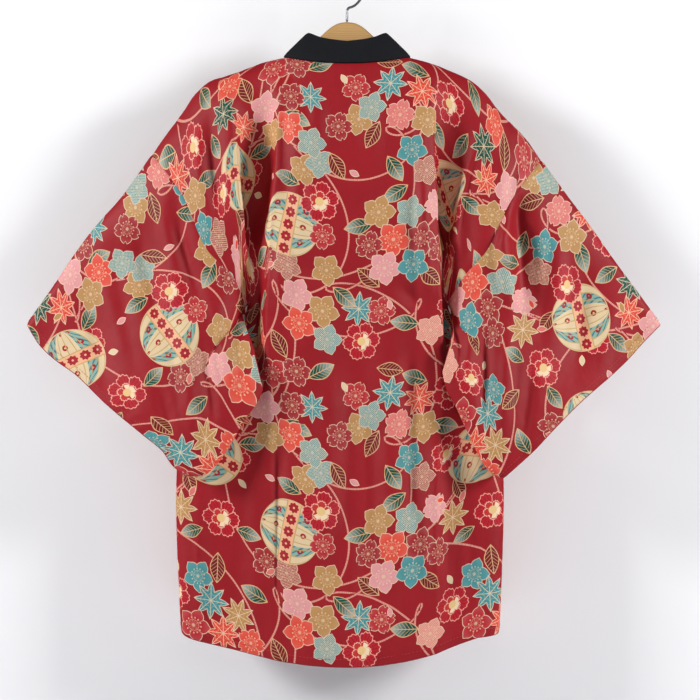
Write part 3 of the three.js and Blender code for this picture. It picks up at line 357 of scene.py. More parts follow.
def panel_row(side, down, layer):
    """The rows of a body panel: where its plain middle ends, and its place by the station.
    Stations run from 1 to 2 over the valley and from 2 to 3 out to the seam."""
    back = layer == "back"
    fold = look_up(BACK_FOLD[side] if back else FRONT_FOLD, "down")
    here, heights = fold(down), fold(fallen(down))
    seam = look_up(SIDE_SEAM[side], "down")(down)
    turn = rounded(down)
    lean = -VALLEY_LEAN * sign(side) if back else 0
    way = 1 if back else -1
    spread = 0 if back else FRONT_SPREAD * (seam["out"] - USUAL_SEAM(down))
    a = np.array([here["fold_out"], here["fold_y"], heights["fold_z"]])
    b = np.array([here["side_out"] + spread, here["side_y"], heights["side_z"]])
    s = np.array([seam["out"], seam["back"] if back else seam["front"], seam["z"]])
    wrap = smooth(ARMHOLE, 300, down)
    bulge = SIDE_BULGE * smooth(330, 560, down) if back else -FRONT_TURN
    k = np.array([mix((b[0] + s[0]) / 2, s[0] + bulge, wrap), mix((b[1] + s[1]) / 2, b[1], wrap),
                  (b[2] + s[2]) / 2])
    flat = np.where(down >= ARMHOLE, 1, turn)

    def place(station):
        if station <= 2:
            across, deep = valley(station - 1, b[0] - a[0], here["depth"])
            return np.array([mix(a[0], b[0], across) + lean * deep * turn * way,
                             (mix(a[1], b[1], across) + way * deep) * turn, mix(a[2], b[2], across)])
        w = station - 2
        p = b * (1 - w) ** 2 + 2 * w * (1 - w) * k + s * w * w
        return np.array([p[0], p[1] * flat, p[2]])

    return a, place


def panel_grid(side, layer, stations, down):
    """A body panel's points, rows down and stations out, as (row, station, xyz)."""
    back = layer == "back"
    (top_a, top), (a, place) = panel_row(side, np.zeros(1), layer), panel_row(side, down, layer)
    top_a = top_a[:, 0]
    turn, early = rounded(down), np.exp(-down / SHOULDER_FADE)
    edge = look_up(FRONT_EDGE, "down")
    opening, low_edge = edge(down), edge(fallen(down))
    lines = []
    for station in stations:
        if back and station <= NECK_SHARE:
            start = neck_point(90 * station / NECK_SHARE)
        else:
            t = (station - NECK_SHARE) / (1 - NECK_SHARE) if back else station
            out = mix(NECK_HALF, top_a[0], t) if station < 1 else top(station)[0, 0]
            start = (out, 0, float(SHOULDER[side](out)))
        if station < 1 and back:
            out = mix(a[0] * station, start[0] * a[0] / top_a[0], early)
            share = out / a[0]
            centre = mix(BACK_NECK_Z, BACK_HEM_Z, fallen(down) / BODY_LENGTH)
            p = np.array([out, mix(-BACK_DEPTH, a[1], smooth(0, 1, share)) * turn,
                          mix(centre, a[2], share ** 2)])
            plain = mix(BACK_NECK_Z, top_a[2], (start[0] / top_a[0]) ** 2)
        elif station < 1:
            p = np.array([mix(opening["out"], a[0], station),
                          mix(FRONT_DEPTH, a[1], smooth(0, 1, station)) * turn,
                          mix(low_edge["z"], a[2], station)])
            plain = mix(FRONT_EDGE[0]["z"], top_a[2], station)
        else:
            p, plain = place(station), top(station)[2, 0]
        if back:
            p[1] += start[1] * (1 - turn)
        p[2] += (start[2] - plain) * early
        lines.append(np.stack([sign(side) * p[0], p[1], p[2]], -1))
    points = np.stack(lines, 1)
    stops = np.array(stations)
    in_valley, before_seam = (stops > 1) & (stops < 2), 1 - smooth(2.6, 3, stops)
    share, coarse = np.where(in_valley, 0.35, 1) * before_seam, np.where(in_valley, 0, 1) * before_seam
    begun = smooth(*FOLDS_START, down)[:, None]
    points = creased(points, BACK_CREASES if back else FRONT_CREASES, begun * coarse[None])
    return creased(points, BACK_FOLDS if back else FRONT_FOLDS, begun * share[None], FOLD_STRENGTH)


def stretch(counts):
    """Stations 0 to 3, with a count of steps for each whole one."""
    parts = [np.linspace(i, i + 1, n + 1)[:-1] for i, n in enumerate(counts)]
    return [float(s) for s in np.concatenate(parts + [[3.0]])]


def back_grid():
    down = np.concatenate([UPPER, LOWER])
    stations = stretch((28, 24, 14))
    left, right = (panel_grid(side, "back", stations, down) for side in ("left", "right"))
    return np.concatenate([left[:, :0:-1], right], 1), down


def front_grid(side):
    down = np.concatenate([UPPER, LOWER])
    return panel_grid(side, "front", stretch((14, 20, 14)), down), down


def sleeve_grid(side):
    """Rings round a sleeve from the armhole to the cuff: down the back layer, up the front one."""
    seam, inner = look_up(SIDE_SEAM[side], "down"), look_up(INNER_EDGE[side], "down")
    top, bottom, cuff = followed(SLEEVE_TOP[side]), followed(SLEEVE_BOTTOM[side]), followed(CUFF[side])
    along = np.concatenate([np.linspace(0, 0.08, 7)[:-1], np.linspace(0.08, 1, 54)])[:, None]
    down = np.concatenate([UPPER, EDGE])

    def inner_at(d, layer):
        s, e = seam(d), inner(d)
        upper = d < ARMHOLE
        return {"out": np.where(upper, s["out"], e["out"]), "z": np.where(upper, s["z"], e["z"]),
                "y": np.where(upper, s[layer] * rounded(d), e[layer])}

    def layer_points(d, layer):
        share = d / SLEEVE_HEIGHT
        i, i0, i1 = (inner_at(v, layer) for v in (d, np.zeros(1), np.full(1, SLEEVE_HEIGHT)))
        c, c0, c1 = cuff(share), cuff(0), cuff(1)
        t, b = top(along), bottom(along)

        def coons(n):
            return (mix(i[n][None], c[n][None], along) + mix(t[n], b[n], share[None])
                    - mix(mix(i0[n], c0[n], along), mix(i1[n], c1[n], along), share[None]))

        rim = np.minimum(d, SLEEVE_HEIGHT - d) / CUFF_HALF_THICK
        thick = CUFF_HALF_THICK * np.sqrt(1 - (1 - np.clip(rim, 0, 1)) ** 2)
        middle = -SLEEVE_SETBACK * smooth(0, 0.85, share)
        cuff_y = middle + (-thick if layer == "back" else thick)
        reach = 1 - (1 - along) ** 4
        y = mix(i["y"][None], cuff_y[None],
                np.where(d[None] < 100, mix(along, reach, d[None] / 100), reach))
        points = np.stack([sign(side) * coons("out"), y, coons("z")], -1)
        fade = smooth(*FOLDS_START, d) * (1 - smooth(SLEEVE_HEIGHT - 45, SLEEVE_HEIGHT, d))
        fade = fade[None] * smooth(0, 0.06, along)
        points = creased(points, BACK_CREASES, fade)
        return creased(points, SLEEVE_FOLDS, fade * (0.9 if layer == "back" else 0.7), FOLD_STRENGTH)

    back_layer = layer_points(np.append(down, SLEEVE_HEIGHT), "back")
    front_layer = layer_points(down[1:], "front")[:, ::-1]
    cloth = np.concatenate([down, [SLEEVE_HEIGHT], 2 * SLEEVE_HEIGHT - down[:0:-1]])
    return np.concatenate([back_layer, front_layer], 1), cloth


def linear(value):
    """An sRGB hex colour as linear red, green, blue and alpha."""
    parts = [int(value[i:i + 2], 16) / 255 for i in (1, 3, 5)]
    return tuple(p / 12.92 if p <= 0.04045 else ((p + 0.055) / 1.055) ** 2.4 for p in parts) + (1.0,)


def unit(v):
    return v / np.maximum(np.linalg.norm(v, axis=-1, keepdims=True), 1e-9)


def grid_normals(points, ring, flip, passes=4):
    """The cloth's normal at each point of a grid, a little calmed by its neighbours."""
    along = np.gradient(points, axis=0)
    across = np.roll(points, -1, 1) - np.roll(points, 1, 1) if ring else np.gradient(points, axis=1)
    normal = unit(np.cross(across, along)) * (-1 if flip else 1)
    for _ in range(passes):
        wide = np.pad(normal, ((1, 1), (0, 0), (0, 0)), mode="edge")
        wide = np.pad(wide, ((0, 0), (1, 1), (0, 0)), mode="wrap" if ring else "edge")
        beside = wide[:-2, 1:-1] + wide[2:, 1:-1] + wide[1:-1, :-2] + wide[1:-1, 2:]
        normal = unit(wide[1:-1, 1:-1] * 2 + beside)
    return normal


def share_normals(first, second):
    """Two panels that meet along a seam have one normal at each of its points."""
    total = unit(first + second)
    first[...] = total
    second[...] = total


def lengths(points, axis):
    """How far each point is along its line, by the cloth's own length."""
    steps = np.linalg.norm(np.diff(points, axis=axis), axis=-1)
    total = np.cumsum(steps, axis=axis)
    pad = [(0, 0), (0, 0)]
    pad[axis] = (1, 0)
    return np.pad(total, pad)


@functools.lru_cache
def lay_out():
    """Every panel of the jacket as grid, normals and cloth measures, with shared seams."""
    back, down = back_grid()
    panels = {"back": dict(points=back, normals=grid_normals(back, False, True), ring=False)}
    middle = (back.shape[1] - 1) // 2
    across = lengths(back, 1)
    panels["back"]["cloth"] = np.stack([across - across[:, middle:middle + 1],
                                        np.broadcast_to(down[:, None], across.shape)], -1)
    upper = len(UPPER)
    for side, flip, sleeve_flip, edge in (("left", True, True, 0), ("right", False, False, -1)):
        front, _ = front_grid(side)
        sleeve, around = sleeve_grid(side)
        normals = grid_normals(front, False, flip)
        ring = grid_normals(sleeve, True, sleeve_flip)
        back_edge = panels["back"]["normals"][:, edge]
        count = sleeve.shape[1]
        rows_in = np.arange(1, upper - 1)
        for target, index in ((back_edge, rows_in), (normals[:, -1], count - rows_in)):
            total = unit(target[rows_in] + ring[0, index])
            target[rows_in] = total
            ring[0, index] = total
        share_normals(back_edge[upper:], normals[upper:, -1])
        for line, line_normals in ((front[0], normals[0]), (back[0], panels["back"]["normals"][0])):
            on = np.abs(line[:, 0]) > NECK_HALF - 0.01
            line[on, 1] = 0
            line_normals[on, 1] = 0
            line_normals[:] = unit(line_normals)
        across = FRONT_CUT[0] + lengths(front, 1)
        cloth = np.stack([sign(side) * -across,
                          np.broadcast_to(down[:, None], across.shape) + FRONT_CUT[1]], -1)
        panels["front_" + side] = dict(points=front, normals=normals, ring=False, cloth=cloth)
        along = lengths(sleeve, 0)
        along = along.mean(1)[-1] + along - along[-1:]
        cloth = np.stack([sign(side) * along + SLEEVE_CUT[0],
                          np.broadcast_to(around[None], along.shape) + SLEEVE_CUT[1]], -1)
        panels["sleeve_" + side] = dict(points=sleeve, normals=ring, ring=True, cloth=cloth)
    return panels


# The print's repeat. Each row is one motif, and a later row lies over an earlier one.
# Kinds: 1 plum blossom, 2 notched cherry blossom, 3 maple leaf, 4 shaded leaf, 5 peony,
# 6 thread ball, 7 loose petal, 8 dotted plum blossom, 9 leaf in outline.
REPEAT = (400, 420)
REACH = {1: 22.5, 2: 23, 3: 25, 4: 22, 5: 30, 6: 46, 7: 9, 8: 22.5, 9: 22}
COLOURS = {
    "coral": "#E24A38", "teal": "#459296", "green": "#0F5042", "tan": "#BC8B52", "pink": "#E49A9B",
    "rose": "#B81E2C", "dark": "#A01A25", "brown": "#76181C", "cream": "#E2C9A1", "blush": "#DE7671",
}
MOTIFS = rows("kind x y size turn fill",
    (4, 184, 82, 0.95, 100, "green"), (2, 12, 42, 0.9, 10, "rose"), (1, 16, 86, 0.95, 30, "tan"),
    (3, 218, 60, 1.0, 10, "green"), (3, 244, 88, 0.95, 30, "coral"), (1, 232, 26, 0.9, 0, "coral"),
    (1, 90, 132, 0.95, 15, "teal"), (4, 66, 156, 1.0, 60, "green"), (8, 110, 162, 0.9, 0, "dark"),
    (2, 130, 208, 0.95, 20, "pink"), (3, 160, 232, 1.0, 0, "tan"), (9, 172, 196, 0.9, 70, "brown"),
    (1, 340, 160, 0.95, 0, "tan"), (8, 362, 148, 0.9, 25, "teal"), (4, 316, 174, 0.95, 200, "green"),
    (1, 186, 322, 0.95, 10, "teal"), (2, 284, 284, 0.95, 0, "dark"), (8, 316, 292, 0.9, 20, "dark"),
    (3, 16, 344, 1.0, 5, "teal"), (2, 48, 348, 0.9, 0, "rose"), (1, 372, 292, 0.95, 10, "tan"),
    (1, 296, 22, 0.95, 20, "rose"), (2, 330, 14, 0.95, 0, "dark"), (4, 364, 10, 1.0, -30, "green"),
    (2, 388, 96, 0.9, 0, "dark"), (5, 236, 150, 0.8, 20, "rose"), (9, 60, 8, 0.9, 10, "brown"),
    (4, 96, 22, 1.0, 200, "green"), (9, 36, 108, 1.0, 120, "brown"), (4, 142, 96, 1.1, 20, "green"),
    (3, 60, 40, 1.0, 10, "teal"), (3, 104, 52, 1.0, 30, "coral"), (2, 74, 84, 0.95, 0, "blush"),
    (8, 34, 70, 0.9, 0, "teal"), (1, 112, 92, 1.0, 15, "tan"), (5, 148, 48, 0.95, 0, "rose"),
    (4, 190, 20, 0.9, 60, "green"), (6, 200, 150, 1.0, 25, "cream"), (5, 150, 138, 0.95, 40, "rose"),
    (4, 262, 128, 1.0, -10, "green"), (4, 330, 92, 1.0, 20, "green"), (9, 256, 40, 1.0, 250, "brown"),
    (1, 282, 72, 1.0, 0, "pink"), (3, 350, 60, 0.9, 0, "teal"), (1, 318, 104, 1.0, 20, "coral"),
    (1, 288, 112, 0.95, 10, "tan"), (8, 350, 122, 0.9, 0, "teal"), (2, 322, 62, 0.9, 12, "dark"),
    (4, 66, 190, 1.0, 150, "green"), (4, 16, 232, 1.0, 170, "green"), (9, 116, 306, 1.0, 40, "brown"),
    (9, 30, 302, 1.0, 220, "brown"), (1, 44, 214, 1.0, 0, "tan"), (8, 88, 216, 0.95, 0, "teal"),
    (1, 64, 252, 1.05, 20, "coral"), (1, 104, 254, 1.0, 0, "dark"), (2, 30, 258, 0.9, 0, "dark"),
    (1, 52, 290, 1.0, 10, "pink"), (1, 92, 288, 1.0, 25, "teal"), (2, 132, 270, 0.9, 0, "dark"),
    (5, 218, 238, 0.95, 15, "rose"), (4, 258, 252, 0.9, 10, "green"), (4, 176, 262, 0.85, 160, "green"),
    (6, 318, 236, 0.95, 100, "cream"), (5, 362, 200, 1.0, 60, "rose"), (2, 366, 246, 0.85, 20, "rose"),
    (9, 214, 306, 1.0, 90, "brown"), (4, 268, 330, 1.0, 200, "green"), (3, 246, 364, 1.0, 15, "tan"),
    (3, 206, 352, 1.05, 0, "teal"), (3, 226, 392, 1.0, 40, "coral"), (1, 184, 390, 1.0, 0, "rose"),
    (2, 266, 396, 0.9, 0, "coral"), (5, 150, 352, 0.9, 30, "rose"), (8, 116, 380, 0.9, 10, "blush"),
    (4, 80, 366, 1.0, 190, "green"), (1, 330, 330, 1.0, 5, "pink"), (1, 366, 348, 1.0, 12, "tan"),
    (1, 334, 368, 1.0, 30, "coral"), (8, 372, 386, 0.9, 0, "teal"), (9, 306, 400, 1.0, 240, "brown"),
    (5, 20, 388, 0.95, 10, "rose"), (4, 396, 328, 1.0, 40, "green"), (9, 386, 150, 1.0, 60, "brown"),
    (7, 246, 186, 1.0, 40, "cream"), (7, 176, 208, 1.0, 120, "blush"), (7, 140, 200, 0.9, 10, "coral"),
    (7, 286, 170, 1.0, 200, "pink"), (7, 150, 316, 1.0, 70, "cream"), (7, 290, 296, 1.0, 150, "blush"),
    (7, 10, 160, 1.0, 30, "pink"), (7, 220, 20, 0.9, 100, "coral"), (7, 60, 340, 0.9, 80, "pink"),
    (7, 396, 30, 1.0, 60, "cream"), (7, 232, 92, 1.0, 20, "tan"))
# Vines: lines that wander over the whole repeat, with a small loop at each turn, so none has an end
VINES = rows("x y across sway loop turns phase",
    (60, 0, 0, 46, 46, 2, 0.4), (196, 40, 0, 40, 52, 1, 2.2), (322, 10, 0, 50, 40, 2, 4.0),
    (0, 92, 1, 38, 44, 2, 1.0), (20, 236, 1, 44, 52, 1, 3.1), (0, 372, 1, 34, 42, 2, 5.0))


def vine_samples():
    """Points along every vine, each with the direction square to it."""
    s = np.linspace(0, 1, 281)[:-1]
    lines = []
    for v in VINES:
        looping = 2 * math.pi * v["turns"] * s
        aside = v["sway"] * np.sin(2 * math.pi * s + v["phase"]) + v["loop"] * np.cos(looping)
        ahead = REPEAT[0 if v["across"] else 1] * s + v["loop"] * np.sin(looping)
        line = np.stack([ahead, aside] if v["across"] else [aside, ahead], -1) + [v["x"], v["y"]]
        step = np.roll(line, -1, 0) - np.roll(line, 1, 0)
        step[[0, -1]] = step[1], step[-2]
        step = unit(step)
        square = np.stack([-step[:, 1], step[:, 0]], -1)
        for dx in range(-2, 3):
            for dy in range(-2, 3):
                lines.append(np.concatenate([line + [dx * REPEAT[0], dy * REPEAT[1]], square], 1))
    return np.concatenate(lines)


def chart(cloth):
    """For each face, from its corners' cloth measures: the three topmost motifs and the nearest vine."""
    centre = cloth.mean(1)
    size = np.array(REPEAT, float)
    shift = np.floor(centre / size) * size
    centre, local = centre - shift, cloth - shift[:, None]
    shapes = np.zeros((3,) + cloth.shape[:2] + (3,))
    fills = np.ones((3,) + cloth.shape[:2] + (4,))
    palette = {name: linear(value) for name, value in COLOURS.items()}
    for m in MOTIFS:
        turn = math.radians(m["turn"])
        for dx in (-size[0], 0, size[0]):
            for dy in (-size[1], 0, size[1]):
                at = np.array([m["x"] + dx, m["y"] + dy])
                on = np.hypot(*(centre - at).T) < REACH[m["kind"]] * m["size"] + 6
                if not on.any():
                    continue
                d = (local[on] - at) / m["size"]
                p = d[..., 0] * math.cos(turn) + d[..., 1] * math.sin(turn)
                q = d[..., 1] * math.cos(turn) - d[..., 0] * math.sin(turn)
                for store in (shapes, fills):
                    store[0][on], store[1][on] = store[1][on], store[2][on]
                shapes[2][on] = np.stack([p, q, np.full(p.shape, m["kind"])], -1)
                fills[2][on] = palette[m["fill"]]
    samples = vine_samples()
    near = np.all((samples[:, :2] > -20) & (samples[:, :2] < size + 20), axis=1)
    samples = samples[near]
    tree = KDTree(len(samples))
    for i, sample in enumerate(samples):
        tree.insert((sample[0], sample[1], 0), i)
    tree.balance()
    found = np.array([tree.find((c[0], c[1], 0))[1:] for c in centre])
    nearest = samples[found[:, 0].astype(int)]
    d = local - nearest[:, None, :2]
    radial = nearest[:, None, 2:]
    off = (d * radial).sum(-1)
    run = d[..., 1] * radial[..., 0] - d[..., 0] * radial[..., 1]
    off[found[:, 1] > 12] = 50
    return shapes, fills, np.stack([off, run + found[:, :1] * 2.0, np.zeros_like(off)], -1)


def gathers(at, pitch, wander, drift, swell, phase):
    """Waves along a seam, uneven in spacing and size."""
    return np.sin(at / pitch + wander * np.sin(at / drift)) * (0.6 + 0.4 * np.sin(at / swell + phase))


def near_edges(panel):
    """How far each point is from the panel's ends, and from its sides, which a ring doesn't have."""
    down, across = lengths(panel["points"], 0), lengths(panel["points"], 1)
    near_end = np.minimum(down, down[-1:] - down)
    near_side = np.minimum(across, across[:, -1:] - across)
    return near_end, np.full_like(near_side, np.inf) if panel["ring"] else near_side


def pucker(panel, near_end, near_side):
    """The small waves that sewing draws up beside each edge."""
    across, down = panel["cloth"][..., 0], panel["cloth"][..., 1]
    wave = gathers(down if panel["ring"] else across, 5.1, 1.9, 23, 41, 1) * np.exp(-near_end / 20)
    wave = wave + gathers(down, 6.3, 1.7, 29, 53, 0) * np.exp(-near_side / 18)
    return wave * PUCKER * np.clip(np.minimum(near_end, near_side) / SEAM_REACH, 0, 1)


def four_corners(grid):
    """The values at the corners of each of a grid's faces."""
    corners = np.stack([grid[:-1, :-1], grid[:-1, 1:], grid[1:, 1:], grid[1:, :-1]], 2)
    return corners.reshape(-1, 4, *grid.shape[2:])


def border_loops(ids, points, ring):
    """The cloth's free edges as closed loops: the points' numbers, and the way out at each."""
    ends = [(ids[0], points[0] - points[1]), (ids[-1, ::-1], (points[-1] - points[-2])[::-1])]
    if ring:
        return [(line, unit(out)) for line, out in ends]
    right = (ids[:, -1], points[:, -1] - points[:, -2])
    left = (ids[::-1, 0], (points[:, 0] - points[:, 1])[::-1])
    order = [ends[0], right, ends[1], left]
    line, out = (np.concatenate([part[k][:-1] for part in order]) for k in (0, 1))
    return [(line, unit(out))]


def print_on(mesh, cloth, outside):
    """Keeps the motifs and the vines at the outer faces' corners. The other faces are the reverse
    and the edges, which stay plain."""
    shapes, fills, vines = chart(cloth[:outside])
    kept = [(f"motif_{i}", "FLOAT_VECTOR", "vector", values, 0) for i, values in enumerate(shapes)]
    kept += [(f"fill_{i}", "FLOAT_COLOR", "color", values, 1) for i, values in enumerate(fills)]
    kept.append(("vine", "FLOAT_VECTOR", "vector", vines, 50))
    for name, kind, field, values, plain in kept:
        everywhere = np.full((len(cloth),) + values.shape[1:], float(plain))
        everywhere[:outside] = values
        mesh.attributes.new(name, kind, "CORNER").data.foreach_set(field, everywhere.ravel())
    index = np.zeros(len(cloth), int)
    index[outside:2 * outside] = 1
    mesh.polygons.foreach_set("material_index", index)


def wall(name, panel):
    """A closed padded wall round a grid, with rounded edges and a groove at each seam."""
    ring, cloth = panel["ring"], panel["cloth"]
    near_end, near_side = near_edges(panel)
    points = panel["points"] + panel["normals"] * pucker(panel, near_end, near_side)[..., None]
    share_in = np.clip(np.minimum(near_end, near_side) / SEAM_REACH, 0, 1)
    half = HALF_WALL * (0.4 + 0.6 * np.sqrt(1 - (1 - share_in) ** 2))[..., None] * panel["normals"]
    count = near_end.size
    ids = np.arange(count).reshape(near_end.shape)
    faces = four_corners(np.concatenate([ids, ids[:, :1]], 1) if ring else ids)
    all_round = np.concatenate([cloth, cloth[:, :1] + [0, 2 * SLEEVE_HEIGHT]], 1)
    corners = four_corners(all_round if ring else cloth)
    verts = [(points + half).reshape(-1, 3), (points - half).reshape(-1, 3)]
    rims, total = [], 2 * count
    for edge, out in border_loops(ids, points, ring):
        verts.append(points.reshape(-1, 3)[edge] + out * EDGE_ROUND)
        rim = total + np.arange(len(edge))
        total += len(edge)
        edge_2, rim_2 = np.roll(edge, -1), np.roll(rim, -1)
        rims.append(np.stack([edge, rim, rim_2, edge_2], -1))
        rims.append(np.stack([edge + count, edge_2 + count, rim_2, rim], -1))
    verts, rims = np.concatenate(verts), np.concatenate(rims)
    everything = np.concatenate([faces, faces[:, ::-1] + count, rims])
    edge_cloth = np.repeat(cloth.reshape(-1, 2)[rims[:, 0] % count][:, None], 4, 1)
    measures = np.concatenate([corners, corners[:, ::-1], edge_cloth])
    quad = verts[everything]
    volume = sum((quad[:, 0] * np.cross(quad[:, k], quad[:, k + 1])).sum() for k in (1, 2))
    if volume < 0:
        everything, measures = everything[:, ::-1], measures[:, ::-1]
    mesh = bpy.data.meshes.new(name)
    mesh.from_pydata((verts * MM).tolist(), [], everything.tolist())
    mesh.polygons.foreach_set("use_smooth", np.ones(len(everything), bool))
    mesh.uv_layers.new(name="cloth").uv.foreach_set("vector", (measures * MM).ravel())
    print_on(mesh, measures, len(faces))
    mesh.validate()
    mesh.update()
    return new_object(name, mesh)


def new_object(name, mesh):
    made = bpy.data.objects.new(name, mesh)
    bpy.context.scene.collection.objects.link(made)
    return made


def tube_mesh(name, loops):
    """A solid through closed loops of points, with flat ends and a UV map in metres along and round it."""
    loops = np.asarray(loops, float)
    m, n = loops.shape[:2]
    ids = np.arange(m * n).reshape(m, n)
    nxt = np.roll(ids, -1, 1)
    faces = np.stack([ids[:-1], nxt[:-1], nxt[1:], ids[1:]], -1).reshape(-1, 4).tolist()
    faces += [ids[0][::-1].tolist(), ids[-1].tolist()]
    mesh = bpy.data.meshes.new(name)
    mesh.from_pydata((loops.reshape(-1, 3) * MM).tolist(), [], faces)
    along, around = lengths(loops, 0), lengths(loops, 1)
    uv = mesh.uv_layers.new(name="cloth").uv
    for face in mesh.polygons:
        for k in face.loop_indices:
            i, j = divmod(mesh.loops[k].vertex_index, n)
            uv[k].vector = (along[i, j] * MM, around[i, j] * MM)
    made = bmesh.new()
    made.from_mesh(mesh)
    bmesh.ops.recalc_face_normals(made, faces=made.faces)
    made.to_mesh(mesh)
    made.free()
    mesh.polygons.foreach_set("use_smooth", [True] * len(mesh.polygons))
    return new_object(name, mesh)


def band_stations(side):
    """The collar band's seam line and reach for one half, from the neck's centre to the hem."""
    turns = np.linspace(0, 90, 31)
    reach = look_up(NECK_BAND, "turn")(turns)
    seam = np.array([neck_point(t) for t in turns])
    down = np.concatenate([UPPER, LOWER])[1:]
    edge = look_up(FRONT_EDGE, "down")
    lift = (float(SHOULDER[side](NECK_HALF)) - FRONT_EDGE[0]["z"]) * np.exp(-down / SHOULDER_FADE)
    front = np.stack([edge(down)["out"], FRONT_DEPTH * rounded(down), edge(fallen(down))["z"] + lift], -1)
    low = look_up(FRONT_BAND, "down")(down)
    reaches = np.concatenate([np.stack([part[k] for k in ("out", "y", "z")], -1) for part in (reach, low)])
    seams = np.concatenate([seam, front])
    flip = np.array([sign(side), 1, 1])
    return seams * flip, reaches * flip


def band_loops():
    """Sections of the padded collar band: a long oval with a soft crown."""
    left, right = band_stations("left"), band_stations("right")
    seam, reach = (np.concatenate([l[:0:-1], r]) for l, r in zip(left, right))
    for _ in range(3):
        seam[1:-1] = seam[1:-1] * 0.5 + (seam[:-2] + seam[2:]) * 0.25
    tangent = unit(np.gradient(seam, axis=0))
    face = unit(np.cross(tangent, reach))
    start = unit(reach) * BAND_GAP
    t = np.linspace(0, 2 * math.pi, 41)[:-1]
    across = 0.5 - 0.5 * np.sign(np.cos(t)) * np.abs(np.cos(t)) ** 0.55
    half = 0.5 * np.sign(np.sin(t)) * np.abs(np.sin(t)) ** 0.5 * (0.94 + 0.06 * np.cos(4 * t))
    wide, thick = across[None, :, None], (half * BAND_THICK)[None, :, None]
    return (seam + start)[:, None] + reach[:, None] * wide + face[:, None] * thick


def hanger_loops():
    arm = look_up(HANGER_ARMS, "out")
    reach = HANGER_ARMS[-1]["out"]
    xs = np.linspace(-reach, reach, 173)
    shape = arm(np.abs(xs))
    up = np.array([r["up"] for r in HANGER_SECTION])
    width = np.array([r["half"] for r in HANGER_SECTION])
    ups = np.linspace(0, 1, 25)
    halves = np.interp(ups, up, width)
    ups, halves = np.concatenate([ups, ups[::-1]]), np.concatenate([halves, -halves[::-1]])
    loops = np.zeros((len(xs), len(ups), 3))
    loops[..., 0] = xs[:, None]
    loops[..., 1] = halves[None] * HANGER_THICK
    loops[..., 2] = shape["top"][:, None] - shape["tall"][:, None] * (1 - ups[None])
    return loops


def hook_loops():
    """The hook: a shank up from the wood, a bend to the right, then up and over to the left."""
    centre = HOOK_BOTTOM_Z + HOOK_RADIUS
    shank_z = HANGER_ARMS[0]["top"] + 0.3
    shank, bend = HOOK_BOTTOM_Z - HOOK_BEND - shank_z, math.pi / 2 * HOOK_BEND
    path = []
    for s in np.linspace(0, shank + bend + HOOK_RADIUS * HOOK_TURN, 141):
        if s <= shank:
            path.append((0, shank_z + s))
            continue
        if s <= shank + bend:
            a = (s - shank) / HOOK_BEND
            path.append((HOOK_BEND * (1 - math.cos(a)), HOOK_BOTTOM_Z - HOOK_BEND * (1 - math.sin(a))))
            continue
        travelled = s - shank - bend
        a = travelled / HOOK_RADIUS + math.asin(HOOK_BEND / HOOK_RADIUS)
        step = HOOK_RADIUS * (1 - math.sqrt(1 - (HOOK_BEND / HOOK_RADIUS) ** 2))
        settle = step * max(0, 1 - travelled / (2 * HOOK_BEND))
        path.append((HOOK_RADIUS * math.sin(a), centre - HOOK_RADIUS * math.cos(a) - settle))
    line = np.array(path)
    tangent = unit(np.gradient(line, axis=0))
    side = np.stack([-tangent[:, 1], tangent[:, 0]], -1)
    ends = np.minimum(np.arange(len(line)), np.arange(len(line))[::-1])
    thick = WIRE / 2 * np.sqrt(1 - (1 - np.clip((ends + 1) / 5, 0, 1)) ** 2)
    t = np.linspace(0, 2 * math.pi, 17)[:-1]
    loops = np.zeros((len(line), 16, 3))
    loops[..., 0] = line[:, :1] + side[:, :1] * np.cos(t) * thick[:, None]
    loops[..., 1] = np.sin(t) * thick[:, None]
    loops[..., 2] = line[:, 1:] + side[:, 1:] * np.cos(t) * thick[:, None]
    return loops


def add(tree, kind, *inputs, pick=0, **settings):
    """Adds one node. After a dot, the kind names its operation. Inputs are values or sockets."""
    name, _, operation = kind.partition(".")
    whole = name.startswith(("Node", "Geometry", "Function"))
    node = tree.nodes.new(name if whole else "ShaderNode" + name)
    if operation:
        node.operation = operation
    wanted = list(zip(node.inputs, inputs))
    for key, value in settings.items():
        socket = node.inputs.get(key.replace("_", " ").title())
        if socket is None:
            setattr(node, key, value)
        else:
            wanted.append((socket, value))
    for socket, value in wanted:
        if isinstance(value, bpy.types.NodeSocket):
            tree.links.new(value, socket)
        elif value is not None:
            socket.default_value = value
    return node.outputs[pick]


